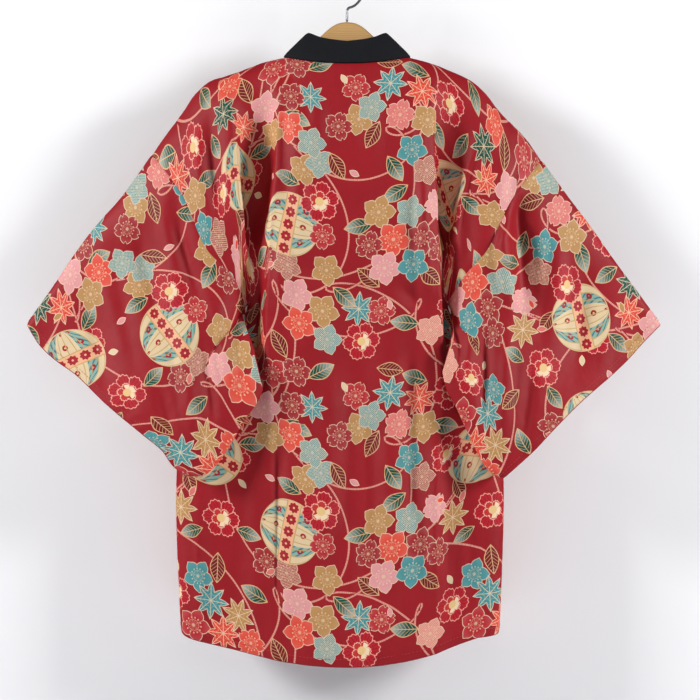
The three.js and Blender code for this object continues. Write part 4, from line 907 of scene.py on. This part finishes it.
def motif_group():
    """One motif drawn over a colour. The shape's first two numbers are millimetres from the
    motif's centre and the third is its kind, as in the print's table."""
    t = bpy.data.node_groups.new("printed motif", "ShaderNodeTree")
    for name, kind, way in (("Shape", "NodeSocketVector", "INPUT"), ("Fill", "NodeSocketColor", "INPUT"),
                            ("Under", "NodeSocketColor", "INPUT"), ("Colour", "NodeSocketColor", "OUTPUT")):
        t.interface.new_socket(name, in_out=way, socket_type=kind)
    source = t.nodes.new("NodeGroupInput")
    shape, fill, under = source.outputs[:3]
    p = add(t, "SeparateXYZ", shape)
    q, kind = p.node.outputs[1], p.node.outputs[2]
    flat = add(t, "CombineXYZ", p, q, 0.0)
    r = add(t, "VectorMath.LENGTH", flat, pick=1)
    angle = add(t, "Math.ARCTAN2", q, p)
    is_kind = {k: add(t, "Math.COMPARE", kind, float(k), 0.4) for k in REACH}

    # Five round petals, folded onto one half petal
    fold = add(t, "Math.PINGPONG", angle, math.pi / 5)
    px = add(t, "Math.MULTIPLY", r, add(t, "Math.COSINE", fold))
    py = add(t, "Math.MULTIPLY", r, add(t, "Math.SINE", fold))
    lobe = add(t, "VectorMath.LENGTH", add(t, "CombineXYZ", add(t, "Math.SUBTRACT", px, 12.4), py, 0.0),
               pick=1)
    tip = add(t, "MapRange", py, 0.0, 4.0, 11.9, 9.7)
    petal = add(t, "Math.SUBTRACT", lobe, tip)
    notch = add(t, "Math.SUBTRACT", add(t, "Math.MULTIPLY_ADD", py, 1.5, 18.4), px)
    notch = add(t, "Math.MAXIMUM", notch,
                add(t, "Math.SUBTRACT", 50.0, add(t, "Math.MULTIPLY", is_kind[2], 100.0)))
    rim = add(t, "Math.MINIMUM", add(t, "Math.MULTIPLY", petal, -1.0), notch)
    body = add(t, "Math.MAXIMUM", add(t, "Math.GREATER_THAN", rim, 0.0), add(t, "Math.LESS_THAN", r, 9.0))
    far = add(t, "Math.GREATER_THAN", r, 8.5)
    outline = add(t, "Math.MULTIPLY", add(t, "Math.LESS_THAN", rim, 1.0), far)
    gap = add(t, "Math.MULTIPLY", r, add(t, "Math.SUBTRACT", math.pi / 5, fold))
    gap = add(t, "Math.MULTIPLY", add(t, "Math.LESS_THAN", gap, 0.75), add(t, "Math.GREATER_THAN", r, 5.0))
    stamen = add(t, "Math.MULTIPLY", r, add(t, "Math.PINGPONG", angle, math.pi / 13))
    thread = add(t, "Math.MULTIPLY", add(t, "Math.LESS_THAN", stamen, 0.42),
                 add(t, "Math.COMPARE", r, 5.8, 4.0))
    anther = add(t, "Math.MULTIPLY", add(t, "Math.LESS_THAN", stamen, 1.0),
                 add(t, "Math.COMPARE", r, 10.6, 1.0))
    heart = add(t, "Math.LESS_THAN", r, 2.3)
    second = add(t, "Math.MULTIPLY", add(t, "Math.GREATER_THAN", stamen, 0.9),
                 add(t, "Math.COMPARE", r, 7.4, 0.7))
    ink = outline
    for line, strength in ((gap, 0.3), (thread, 0.25), (anther, 0.75), (second, 0.45), (heart, 0.7)):
        ink = add(t, "Math.MAXIMUM", ink, add(t, "Math.MULTIPLY", line, strength))
    blossom = add(t, "Math.MAXIMUM", is_kind[1], add(t, "Math.MAXIMUM", is_kind[2], is_kind[8]))
    grid = add(t, "Math.MULTIPLY", add(t, "Math.SINE", add(t, "Math.MULTIPLY", p, 2.1)),
               add(t, "Math.SINE", add(t, "Math.MULTIPLY", q, 2.1)))
    dots = add(t, "Math.MULTIPLY", add(t, "Math.GREATER_THAN", grid, 0.12), is_kind[8])
    dots = add(t, "Math.MULTIPLY", dots, 0.75)

    # A maple leaf of eight pointed lobes with a vein in each
    point = add(t, "Math.PINGPONG", angle, math.pi / 8)
    share_out = add(t, "Math.POWER", add(t, "Math.MULTIPLY", point, 8 / math.pi), 0.8)
    reach = add(t, "Math.MULTIPLY_ADD", share_out, -12.0, 25.0)
    inside = add(t, "Math.SUBTRACT", reach, r)
    maple = add(t, "Math.MULTIPLY", add(t, "Math.GREATER_THAN", inside, 0.0), is_kind[3])
    vein = add(t, "Math.MULTIPLY", r, add(t, "Math.SINE", point))
    vein = add(t, "Math.LESS_THAN", vein, 0.45)
    rib = add(t, "Math.PINGPONG", add(t, "Math.MULTIPLY_ADD", point, 9.0, r), 2.6)
    rib = add(t, "Math.MULTIPLY", add(t, "Math.LESS_THAN", rib, 0.3), 0.6)
    maple_ink = add(t, "Math.MAXIMUM", add(t, "Math.LESS_THAN", inside, 1.7),
                    add(t, "Math.MAXIMUM", vein, rib))

    # A pointed leaf along the first axis
    away = add(t, "Math.ABSOLUTE", q)
    long = add(t, "Math.DIVIDE", add(t, "Math.ABSOLUTE", p), 21.0)
    width = add(t, "Math.MULTIPLY", add(t, "Math.SUBTRACT", 1.0, add(t, "Math.POWER", long, 1.8)), 11.0)
    leaf_in = add(t, "Math.SUBTRACT", width, away)
    leaves = add(t, "Math.MAXIMUM", is_kind[4], is_kind[9])
    leaf = add(t, "Math.MULTIPLY", add(t, "Math.GREATER_THAN", leaf_in, 0.0), leaves)
    side = add(t, "Math.MULTIPLY_ADD", away, -0.9, add(t, "Math.ADD", p, 50.0))
    side = add(t, "Math.PINGPONG", side, 2.6)
    leaf_ink = add(t, "Math.MAXIMUM", add(t, "Math.LESS_THAN", leaf_in, 1.3),
                   add(t, "Math.LESS_THAN", away, 0.55))
    leaf_ink = add(t, "Math.MAXIMUM", leaf_ink,
                   add(t, "Math.MULTIPLY", add(t, "Math.LESS_THAN", side, 0.42), 0.8))
    shade = add(t, "MapRange", p, -4.0, 19.0, 0.0, 0.6)
    shade = add(t, "Math.MULTIPLY", shade, is_kind[4])

    # A peony: six scalloped petals round five paler ones, and a cream heart
    fold6 = add(t, "Math.PINGPONG", add(t, "Math.ADD", angle, 0.3), math.pi / 6)
    scallop = add(t, "Math.SINE", add(t, "Math.MULTIPLY", angle, 26.0))

    def petals(folded, out, size, ripple):
        """Round petals with a rippled rim: below nothing inside one."""
        ahead = add(t, "Math.MULTIPLY_ADD", r, add(t, "Math.COSINE", folded), -out)
        aside = add(t, "Math.MULTIPLY", r, add(t, "Math.SINE", folded))
        apart = add(t, "VectorMath.LENGTH", add(t, "CombineXYZ", ahead, aside, 0.0), pick=1)
        return add(t, "Math.SUBTRACT", add(t, "Math.MULTIPLY_ADD", scallop, ripple, apart), size)

    lobe6, lobe5 = petals(fold6, 16.4, 11.2, 0.75), petals(fold, 8.4, 6.2, 0.5)
    peony = add(t, "Math.MAXIMUM", add(t, "Math.LESS_THAN", lobe6, 0.0), add(t, "Math.LESS_THAN", r, 15.0))
    peony = add(t, "Math.MULTIPLY", peony, is_kind[5])
    split = add(t, "Math.MULTIPLY", r, add(t, "Math.SUBTRACT", math.pi / 6, fold6))
    rim6 = add(t, "Math.MAXIMUM", add(t, "Math.GREATER_THAN", lobe6, -1.5),
               add(t, "Math.LESS_THAN", split, 0.6))
    rim6 = add(t, "Math.MULTIPLY", rim6, add(t, "Math.GREATER_THAN", r, 13.0))
    ray = add(t, "Math.MULTIPLY", r, add(t, "Math.PINGPONG", angle, math.pi / 26))
    ray = add(t, "Math.MULTIPLY", add(t, "Math.LESS_THAN", ray, 0.5), add(t, "Math.COMPARE", r, 20.0, 3.6))
    inner = add(t, "Math.MULTIPLY", add(t, "Math.LESS_THAN", lobe5, 0.0), peony)
    rim5 = add(t, "Math.MULTIPLY", add(t, "Math.GREATER_THAN", lobe5, -1.3),
               add(t, "Math.GREATER_THAN", r, 6.0))
    crown = add(t, "Math.LESS_THAN", r, 6.0)
    crescent = add(t, "Math.MULTIPLY", add(t, "Math.COMPARE", r, 9.0, 3.0),
                   add(t, "Math.GREATER_THAN", p, 1.0))

    # A thread ball: a band of small flowers between curved stripes
    tall = add(t, "Math.POWER", add(t, "Math.DIVIDE", away, 46.0), 2.0)
    tall = add(t, "Math.SQRT", add(t, "Math.MAXIMUM", add(t, "Math.SUBTRACT", 1.0, tall), 0.02))
    turn = add(t, "Math.DIVIDE", p, tall)
    ball = add(t, "Math.MULTIPLY", add(t, "Math.LESS_THAN", r, 46.0), is_kind[6])
    ball_rim = add(t, "Math.GREATER_THAN", r, 44.6)
    band = add(t, "Math.LESS_THAN", away, 10.0)
    off_band = add(t, "Math.SUBTRACT", 1.0, band)
    border = add(t, "Math.COMPARE", away, 10.0, 0.8)
    stripe = add(t, "Math.LESS_THAN", add(t, "Math.PINGPONG", turn, 5.5), 0.75)
    stripe = add(t, "Math.MAXIMUM", add(t, "Math.MULTIPLY", stripe, off_band), border)
    teal_zone = add(t, "Math.MULTIPLY", add(t, "Math.COMPARE", add(t, "Math.ABSOLUTE", turn), 25.0, 8.0),
                    off_band)
    bud_x, bud_y = add(t, "Math.PINGPONG", p, 9.0), away
    bud = add(t, "VectorMath.LENGTH", add(t, "CombineXYZ", bud_x, bud_y, 0.0), pick=1)
    bud_fold = add(t, "Math.PINGPONG", add(t, "Math.ARCTAN2", bud_y, bud_x), math.pi / 8)
    bud_size = add(t, "Math.MULTIPLY_ADD", bud_fold, -5.0, 8.0)
    bud_on = add(t, "Math.MULTIPLY", add(t, "Math.LESS_THAN", bud, bud_size),
                 add(t, "Math.GREATER_THAN", bud, 1.6))
    stroke = add(t, "Math.PINGPONG", add(t, "Math.MULTIPLY_ADD", away, 0.8, turn), 4.6)
    stroke = add(t, "Math.MULTIPLY", add(t, "Math.LESS_THAN", stroke, 1.5), teal_zone)
    small_x = add(t, "Math.PINGPONG", add(t, "Math.ADD", turn, 2.0), 13.0)
    small_y = add(t, "Math.PINGPONG", add(t, "Math.SUBTRACT", away, 22.0), 11.0)
    small_bud = add(t, "VectorMath.LENGTH", add(t, "CombineXYZ", small_x, small_y, 0.0), pick=1)
    small_bud = add(t, "Math.MULTIPLY", add(t, "Math.COMPARE", small_bud, 2.9, 1.5), off_band)

    # A loose petal
    small = add(t, "Math.POWER", add(t, "Math.DIVIDE", add(t, "Math.ABSOLUTE", p), 8.0), 2.0)
    small = add(t, "Math.MULTIPLY", add(t, "Math.SUBTRACT", 1.0, small), 4.4)
    small = add(t, "Math.SUBTRACT", small, away)
    loose = add(t, "Math.MULTIPLY", add(t, "Math.GREATER_THAN", small, 0.0), is_kind[7])
    loose_ink = add(t, "Math.LESS_THAN", small, 0.9)

    cream, white, red = linear("#F2D5B4"), linear("#F7EEE2"), linear("#A81F2B")
    paler = add(t, "MixRGB", 0.78, fill, cream)
    glow = add(t, "MapRange", r, 10.0, 22.0, 0.0, 0.06)
    flower = add(t, "Math.MULTIPLY", body, blossom)
    # Each part in the order that it is laid over the last: the motif, its share of it, its colour
    steps = (
        (flower, 1.0, add(t, "MixRGB", glow, fill, white)), (body, dots, cream), (flower, ink, paler),
        (maple, 1.0, fill), (maple, maple_ink, paler),
        (leaf, 1.0, add(t, "MixRGB", shade, fill, linear("#CFE3DA"))), (leaf, leaf_ink, linear("#E0B083")),
        (peony, 1.0, fill), (peony, ray, linear("#8E1420")), (peony, rim6, linear("#EE9C8C")),
        (inner, 1.0, add(t, "MixRGB", 0.25, fill, linear("#E2574A"))),
        (inner, crescent, linear("#F4D9B4")), (inner, rim5, linear("#F0B79C")),
        (peony, crown, linear("#EBC688")),
        (ball, 1.0, fill), (ball, teal_zone, linear("#8DB3A4")), (ball, stroke, linear("#3E7F8C")),
        (ball, band, linear("#EFB48C")), (ball, small_bud, red), (ball, bud_on, red),
        (ball, stripe, linear("#C9A46A")), (ball, ball_rim, linear("#D9B98A")),
        (loose, 1.0, fill), (loose, loose_ink, cream),
    )
    colour = under
    for motif, part, over in steps:
        colour = add(t, "MixRGB", add(t, "Math.MULTIPLY", motif, part), colour, over)
    sink = t.nodes.new("NodeGroupOutput")
    t.links.new(colour, sink.inputs[0])
    return t


def new_material(name):
    made = bpy.data.materials.new(name)
    made.use_nodes = True
    return made, made.node_tree, made.node_tree.nodes["Principled BSDF"]


def plain_weave(t, pitch, depth, swell):
    """Bump of a plain weave, with the padding's slow unevenness under it."""
    cloth = add(t, "UVMap", uv_map="cloth")
    scaled = add(t, "VectorMath.SCALE", cloth, scale=2 * math.pi / pitch)
    x = add(t, "SeparateXYZ", scaled)
    weave = add(t, "Math.MULTIPLY", add(t, "Math.SINE", x), add(t, "Math.SINE", x.node.outputs[1]))
    place = add(t, "TexCoord", pick=3)
    soft = add(t, "TexNoise", place, scale=26.0, detail=3.0)
    fine = add(t, "Bump", height=weave, strength=0.25, distance=depth)
    return add(t, "Bump", height=soft, strength=0.5, distance=swell, normal=fine)


def printed_cotton(settings):
    """Screen-printed cotton sateen over thin padding: deep red ground, a soft low sheen and
    crisp flat motifs. The weave is drawn at 1.2 mm, coarser than its real 0.4 mm, so that it shows."""
    made, t, shader = new_material("printed cotton sateen")
    noise = add(t, "TexNoise", add(t, "TexCoord", pick=3), scale=14.0, detail=2.0)
    ground = add(t, "MixRGB", add(t, "MapRange", noise, 0.35, 0.65, 0.0, 0.35), tuple(settings.ground),
                 linear("#86111A"))
    vine = add(t, "SeparateXYZ", add(t, "Attribute", attribute_name="vine", pick=1))
    off = add(t, "Math.ABSOLUTE", vine)
    beads = add(t, "Math.PINGPONG", vine.node.outputs[1], 1.5)
    rope = add(t, "Math.MULTIPLY", add(t, "Math.LESS_THAN", off, 1.25),
               add(t, "MapRange", beads, 0.2, 0.7, 0.62, 0.95))
    colour = add(t, "MixRGB", rope, ground, linear("#E69C8A"))
    motif = motif_group()
    for layer in range(3):
        node = t.nodes.new("ShaderNodeGroup")
        node.node_tree = motif
        t.links.new(add(t, "Attribute", attribute_name=f"motif_{layer}", pick=1), node.inputs[0])
        t.links.new(add(t, "Attribute", attribute_name=f"fill_{layer}"), node.inputs[1])
        t.links.new(colour, node.inputs[2])
        colour = node.outputs[0]
    t.links.new(colour, shader.inputs["Base Color"])
    shader.inputs["Roughness"].default_value = settings.roughness
    shader.inputs["Specular IOR Level"].default_value = 0.22
    t.links.new(plain_weave(t, 0.0012, 0.0002, 0.0035), shader.inputs["Normal"])
    return made


def plain_cotton(name, colour, roughness, pitch, sheen):
    """Piece-dyed plain-weave cotton: matt, with the thread's own fuzz as a faint sheen."""
    made, t, shader = new_material(name)
    noise = add(t, "TexNoise", add(t, "TexCoord", pick=3), scale=60.0, detail=3.0)
    base = tuple(colour)
    darker = tuple(c * 0.72 for c in base[:3]) + (1.0,)
    mixed = add(t, "MixRGB", add(t, "MapRange", noise, 0.3, 0.7, 0.0, 0.6), base, darker)
    t.links.new(mixed, shader.inputs["Base Color"])
    shader.inputs["Roughness"].default_value = roughness
    shader.inputs["Sheen Weight"].default_value = sheen
    shader.inputs["Specular IOR Level"].default_value = 0.15
    t.links.new(plain_weave(t, pitch, 0.00025, 0.0022), shader.inputs["Normal"])
    return made


def lacquered_wood(settings):
    """Beech or a like hardwood under a thin satin lacquer: pale gold, with faint darker grain lines
    about 3 mm apart along the arms and a soft highlight."""
    made, t, shader = new_material("lacquered hardwood")
    place = add(t, "VectorMath.MULTIPLY", add(t, "TexCoord", pick=3), (12.0, 60.0, 90.0))
    warp = add(t, "TexNoise", place, scale=1.0, detail=4.0)
    lines = add(t, "TexWave", place, scale=1.4, distortion=5.0, detail=2.0, bands_direction="Z", pick=1)
    grain = add(t, "Math.MULTIPLY", lines, warp)
    colour = add(t, "MixRGB", add(t, "MapRange", grain, 0.1, 0.6, 0.0, 0.4), tuple(settings.wood),
                 linear("#9C6A34"))
    t.links.new(colour, shader.inputs["Base Color"])
    shader.inputs["Roughness"].default_value = 0.34
    shader.inputs["Coat Weight"].default_value = 0.35
    shader.inputs["Coat Roughness"].default_value = 0.2
    t.links.new(add(t, "Bump", height=grain, strength=0.2, distance=0.0003), shader.inputs["Normal"])
    return made


def plated_wire():
    """Steel wire with bright zinc plating: cool grey metal with faint drawing lines."""
    made, t, shader = new_material("zinc-plated steel wire")
    noise = add(t, "TexNoise", add(t, "TexCoord", pick=3), scale=400.0, detail=2.0)
    t.links.new(add(t, "MixRGB", noise, linear("#8C8E92"), linear("#6A6C71")), shader.inputs["Base Color"])
    shader.inputs["Metallic"].default_value = 1.0
    shader.inputs["Roughness"].default_value = 0.38
    t.links.new(add(t, "Bump", height=noise, strength=0.1, distance=0.0001), shader.inputs["Normal"])
    return made


def stitch_tree():
    """Geometry Nodes: short stitches at an even pitch along a curve, lying along it."""
    t = bpy.data.node_groups.new("stitches along a seam", "GeometryNodeTree")
    t.interface.new_socket("Geometry", in_out="INPUT", socket_type="NodeSocketGeometry")
    sockets = {}
    for name, kind, value in (("Pitch", "NodeSocketFloat", 0.004), ("Length", "NodeSocketFloat", 0.0028),
                              ("Radius", "NodeSocketFloat", 0.00035),
                              ("Material", "NodeSocketMaterial", None)):
        socket = t.interface.new_socket(name, in_out="INPUT", socket_type=kind)
        if value is not None:
            socket.default_value = value
        sockets[name] = socket.identifier
    t.interface.new_socket("Geometry", in_out="OUTPUT", socket_type="NodeSocketGeometry")
    source = t.nodes.new("NodeGroupInput")
    line = add(t, "GeometryNodeMeshToCurve", source.outputs[0])
    spots = add(t, "GeometryNodeCurveToPoints", line, None, source.outputs["Pitch"], mode="LENGTH")
    turn = add(t, "FunctionNodeAlignRotationToVector", None, None, spots.node.outputs[1], axis="Z")
    thread = add(t, "GeometryNodeMeshCylinder", 6, 1, 1, source.outputs["Radius"], source.outputs["Length"],
                 fill_type="TRIANGLE_FAN")
    placed = add(t, "GeometryNodeInstanceOnPoints", spots, None, thread, None, None, turn)
    real = add(t, "GeometryNodeRealizeInstances", placed)
    shaded = add(t, "GeometryNodeSetMaterial", real, None, source.outputs["Material"])
    sink = t.nodes.new("NodeGroupOutput")
    t.links.new(shaded, sink.inputs[0])
    return t, sockets


def stitched(name, lines, material, pitch, length, radius):
    """Runs of stitches on the given lines of points in millimetres, as one plain mesh."""
    verts, edges = [], []
    for line in lines:
        first = len(verts)
        verts += (np.asarray(line) * MM).tolist()
        edges += [(first + i, first + i + 1) for i in range(len(line) - 1)]
    mesh = bpy.data.meshes.new(name + "_line")
    mesh.from_pydata(verts, edges, [])
    guide = new_object(name + "_line", mesh)
    tree, sockets = stitch_tree()
    modifier = guide.modifiers.new("stitches", "NODES")
    modifier.node_group = tree
    for key, value in (("Pitch", pitch), ("Length", length), ("Radius", radius), ("Material", material)):
        modifier[sockets[key]] = value
    bpy.context.view_layer.update()
    made = bpy.data.meshes.new_from_object(guide.evaluated_get(bpy.context.evaluated_depsgraph_get()))
    guide.modifiers.clear()
    bpy.data.objects.remove(guide)
    made.name = name
    return new_object(name, made)


def finish_for(name, make, *values):
    """A finish is made once, and each later piece takes the same one."""
    return bpy.data.materials.get(name) or make(*values)


def collar_cotton(settings):
    return plain_cotton("black cotton broadcloth", settings.collar, 0.75, 0.0012, 0.04)


def reverse_cotton(settings):
    return plain_cotton("reverse of the printed cotton", settings.reverse, 0.8, 0.0012, 0.2)


def sewing_thread(name, colour):
    """Spun polyester sewing thread: matt, a shade lighter than the cloth that it holds."""
    made, t, shader = new_material(name)
    noise = add(t, "TexNoise", add(t, "TexCoord", pick=3), scale=900.0)
    t.links.new(add(t, "MixRGB", noise, colour, tuple(c * 0.6 for c in colour[:3]) + (1.0,)),
                shader.inputs["Base Color"])
    shader.inputs["Roughness"].default_value = 0.6
    return made


def cloth_piece(name, panel_name, settings):
    """One padded panel of the jacket with its finishes, standing for its solid."""
    piece = wall(name, lay_out()[panel_name])
    piece.data.materials.append(finish_for("printed cotton sateen", printed_cotton, settings))
    piece.data.materials.append(finish_for("reverse of the printed cotton", reverse_cotton, settings))
    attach(piece, "root")
    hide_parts(panel_name)
    return piece


class HantenClothSettings(bpy.types.PropertyGroup):
    """The printed cloth and its sewing."""

    ground: bpy.props.FloatVectorProperty(
        name="Ground", description="The red that the motifs are printed on", subtype="COLOR", size=4,
        min=0, max=1, default=linear("#9E1923"))
    reverse: bpy.props.FloatVectorProperty(
        name="Reverse", description="The cloth's plain side, inside the jacket", subtype="COLOR", size=4,
        min=0, max=1, default=linear("#7E1B22"))
    collar: bpy.props.FloatVectorProperty(
        name="Collar", description="The collar band's cotton", subtype="COLOR", size=4,
        min=0, max=1, default=linear("#14151A"))
    roughness: bpy.props.FloatProperty(
        name="Roughness", description="How matt the printed cotton is", subtype="FACTOR",
        min=0, max=1, default=0.52)
    stitch_pitch: bpy.props.FloatProperty(
        name="Stitch pitch", description="From one stitch to the next", unit="LENGTH",
        min=0.001, default=0.005)
    stitch_length: bpy.props.FloatProperty(
        name="Stitch length", description="The thread that shows in one stitch", unit="LENGTH",
        min=0.0005, default=0.003)
    thread_radius: bpy.props.FloatProperty(
        name="Thread radius", description="Half the thread's thickness", unit="LENGTH",
        min=0.0001, default=0.0003)


class HantenHangerSettings(bpy.types.PropertyGroup):
    """The wooden hanger and its hook."""

    wood: bpy.props.FloatVectorProperty(
        name="Wood", description="The lighter tone of the wood", subtype="COLOR", size=4,
        min=0, max=1, default=linear("#C99F66"))


class HantenStageSettings(bpy.types.PropertyGroup):
    """The wall, the floor, the lights and the camera."""

    distance: bpy.props.FloatProperty(
        name="Camera distance", description="From the camera to the hanging point", unit="LENGTH",
        min=0.5, default=2.704)
    lens: bpy.props.FloatProperty(
        name="Lens", description="Focal length on a 36 mm sensor", unit="CAMERA", min=20, default=100)
    key_power: bpy.props.FloatProperty(
        name="Key light", description="Power of the large soft light", unit="POWER", min=0, default=96)
    side_power: bpy.props.FloatProperty(
        name="Side light", description="Power of the light from the other side", unit="POWER",
        min=0, default=85)
    fill_power: bpy.props.FloatProperty(
        name="Fill light", description="Power of the light from the front", unit="POWER", min=0, default=3)
    air: bpy.props.FloatProperty(
        name="Room light", description="Light from everywhere at once", min=0, default=0.1)


class HantenCamera(bpy.types.Operator):
    """The camera stands straight before the jacket's back, a little below its shoulders"""

    bl_idname = "hanten.camera"
    bl_label = "Camera"

    def execute(self, context):
        stage = context.scene.hanten_stage
        data = bpy.data.cameras.new("camera")
        data.lens, data.sensor_width = stage.lens, 36
        camera = bpy.data.objects.new("camera", data)
        camera.location = (PICTURE_CENTRE[0], -stage.distance, PICTURE_CENTRE[1])
        camera.rotation_euler = (math.pi / 2, 0, 0)
        context.scene.collection.objects.link(camera)
        context.scene.camera = camera
        return {"FINISHED"}


class HantenBack(bpy.types.Operator):
    """The back panel, cut in one piece from hem to neck"""

    bl_idname = "hanten.back"
    bl_label = "Back panel"

    def execute(self, context):
        piece = cloth_piece("back_panel", "back", context.scene.hanten_cloth)
        return {"FINISHED"}


class HantenFronts(bpy.types.Operator):
    """The left and right front panels, from the shoulder down to the hem"""

    bl_idname = "hanten.fronts"
    bl_label = "Front panels"

    def execute(self, context):
        for side in ("left", "right"):
            piece = cloth_piece("front_panel_" + side, "front_" + side, context.scene.hanten_cloth)
        return {"FINISHED"}


class HantenSleeves(bpy.types.Operator):
    """The two wide sleeves, each one piece folded along its top and sewn below"""

    bl_idname = "hanten.sleeves"
    bl_label = "Sleeves"

    def execute(self, context):
        for side, width in (("left", 0.298), ("right", 0.285)):
            piece = cloth_piece("sleeve_cloth_" + side, "sleeve_" + side, context.scene.hanten_cloth)
        return {"FINISHED"}


class HantenCollar(bpy.types.Operator):
    """The black collar band, folded double round its padding, from hem to hem round the neck"""

    bl_idname = "hanten.collar"
    bl_label = "Collar band"

    def execute(self, context):
        cloth = context.scene.hanten_cloth
        piece = tube_mesh("collar_band", band_loops())
        piece.data.materials.append(finish_for("black cotton broadcloth", collar_cotton, cloth))
        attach(piece, "root")
        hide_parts("collar")
        return {"FINISHED"}


class HantenStitches(bpy.types.Operator):
    """A row of stitches beside each panel's hem and each sleeve's cuff"""

    bl_idname = "hanten.stitches"
    bl_label = "Stitches"

    def execute(self, context):
        cloth = context.scene.hanten_cloth
        red = sewing_thread("red sewing thread", linear("#C04048"))
        sizes = (cloth.stitch_pitch, cloth.stitch_length, cloth.thread_radius)
        for name, panel in lay_out().items():
            outer = panel["points"] + panel["normals"] * (HALF_WALL + 0.1)
            along = lengths(panel["points"], 0).mean(1)
            row = np.argmin(np.abs(along - along[-1] + HEM_WIDTH))
            line = np.concatenate([outer[row], outer[row, :1]]) if panel["ring"] else outer[row, 1:-1]
            piece = stitched("stitches_" + name, [line], red, *sizes)
            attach(piece, "root")
        return {"FINISHED"}


class HantenArms(bpy.types.Operator):
    """The hanger's arms, sawn from one board and rounded over"""

    bl_idname = "hanten.arms"
    bl_label = "Hanger arms"

    def execute(self, context):
        hanger = context.scene.hanten_hanger
        piece = tube_mesh("hanger_arms", hanger_loops())
        piece.data.materials.append(finish_for("lacquered hardwood", lacquered_wood, hanger))
        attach(piece, "root")
        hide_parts("hanger_wood")
        return {"FINISHED"}


class HantenHook(bpy.types.Operator):
    """The hook, bent from one length of round wire"""

    bl_idname = "hanten.hook"
    bl_label = "Hook"

    def execute(self, context):
        piece = tube_mesh("hook_bend", hook_loops())
        piece.data.materials.append(finish_for("zinc-plated steel wire", plated_wire))
        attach(piece, "root")
        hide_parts("hanger_hook")
        return {"FINISHED"}


def stage_plane(name, corners, colour):
    mesh = bpy.data.meshes.new(name)
    mesh.from_pydata(corners, [], [(0, 1, 2, 3)])
    made = new_object(name, mesh)
    finish, t, shader = new_material(name)
    shader.inputs["Base Color"].default_value = colour
    shader.inputs["Roughness"].default_value = 0.9
    made.data.materials.append(finish)
    return t, shader


def soft_light(name, place, target, size, power):
    data = bpy.data.lights.new(name, "AREA")
    data.size, data.energy = size, power
    made = bpy.data.objects.new(name, data)
    made.location = place
    made.rotation_euler = (Vector(target) - Vector(place)).to_track_quat("-Z", "Y").to_euler()
    bpy.context.scene.collection.objects.link(made)


class HantenStage(bpy.types.Operator):
    """A plain pale floor and wall, with large soft lights before them"""

    bl_idname = "hanten.stage"
    bl_label = "Stage"

    def execute(self, context):
        stage = context.scene.hanten_stage
        pale = linear("#EDEDF1")
        ends = ((-ROOM, -1), (ROOM, -1), (ROOM, 1), (-ROOM, 1))
        stage_plane("floor", [(x, y * ROOM, FLOOR_Z) for x, y in ends], pale)
        corners = [(x, WALL_Y, FLOOR_Z if z < 0 else FLOOR_Z + ROOM) for x, z in ends]
        t, shader = stage_plane("wall", corners, linear("#FDFDFF"))
        # The wall shows only from its front, and lets the light through to the jacket's other side
        path, side = t.nodes.new("ShaderNodeLightPath"), t.nodes.new("ShaderNodeNewGeometry")
        shown = add(t, "Math.SUBTRACT", path.outputs["Is Camera Ray"], side.outputs["Backfacing"],
                    use_clamp=True)
        mixed = add(t, "MixShader", shown, add(t, "BsdfTransparent"), shader.outputs[0])
        t.links.new(mixed, t.nodes["Material Output"].inputs[0])
        soft_light("key", (-2.75, -1.25, 0.75), (0, 0, -0.45), 0.8, stage.key_power)
        soft_light("side", (2.75, -1.3, 0.5), (0, 0, -0.5), 0.8, stage.side_power)
        soft_light("fill", (0.2, -2.9, 0.4), (0, 0, -0.5), 1.2, stage.fill_power)
        soft_light("behind", (0.6, 2.6, -0.2), (0, 0, -0.5), 1.8, stage.side_power / 4)
        world = bpy.data.worlds.new("room")
        world.use_nodes = True
        background = world.node_tree.nodes["Background"]
        background.inputs[0].default_value = linear("#F4F4F8")
        seen = add(world.node_tree, "LightPath")
        level = add(world.node_tree, "MapRange", seen, 0.0, 1.0, stage.air, 0.85)
        world.node_tree.links.new(level, background.inputs[1])
        context.scene.world = world
        context.scene.view_settings.view_transform = "Standard"
        return {"FINISHED"}


class HantenPanel(bpy.types.Panel):
    """Builds the jacket piece by piece"""

    bl_idname = "HANTEN_PT_pieces"
    bl_label = "Hanten"
    bl_space_type = "VIEW_3D"
    bl_region_type = "UI"
    bl_category = "Hanten"

    def draw(self, context):
        for group in ("hanten_cloth", "hanten_hanger", "hanten_stage"):
            box = self.layout.box()
            settings = getattr(context.scene, group)
            for key in settings.__annotations__:
                box.prop(settings, key)
        for operator in OPERATORS:
            self.layout.operator(operator.bl_idname)


OPERATORS = (HantenCamera, HantenArms, HantenHook, HantenStitches, HantenBack, HantenFronts, HantenSleeves,
             HantenCollar, HantenStage)
GROUPS = {"hanten_cloth": HantenClothSettings, "hanten_hanger": HantenHangerSettings,
          "hanten_stage": HantenStageSettings}


def register():
    for made in (*GROUPS.values(), *OPERATORS, HantenPanel):
        bpy.utils.register_class(made)
    for name, group in GROUPS.items():
        setattr(bpy.types.Scene, name, bpy.props.PointerProperty(type=group))


def unregister():
    for name in GROUPS:
        delattr(bpy.types.Scene, name)
    for made in reversed((*GROUPS.values(), *OPERATORS, HantenPanel)):
        bpy.utils.unregister_class(made)


def main():
    register()
    for operator in OPERATORS:
        group, name = operator.bl_idname.split(".")
        getattr(getattr(bpy.ops, group), name)()


if __name__ == "__main__":
    main()
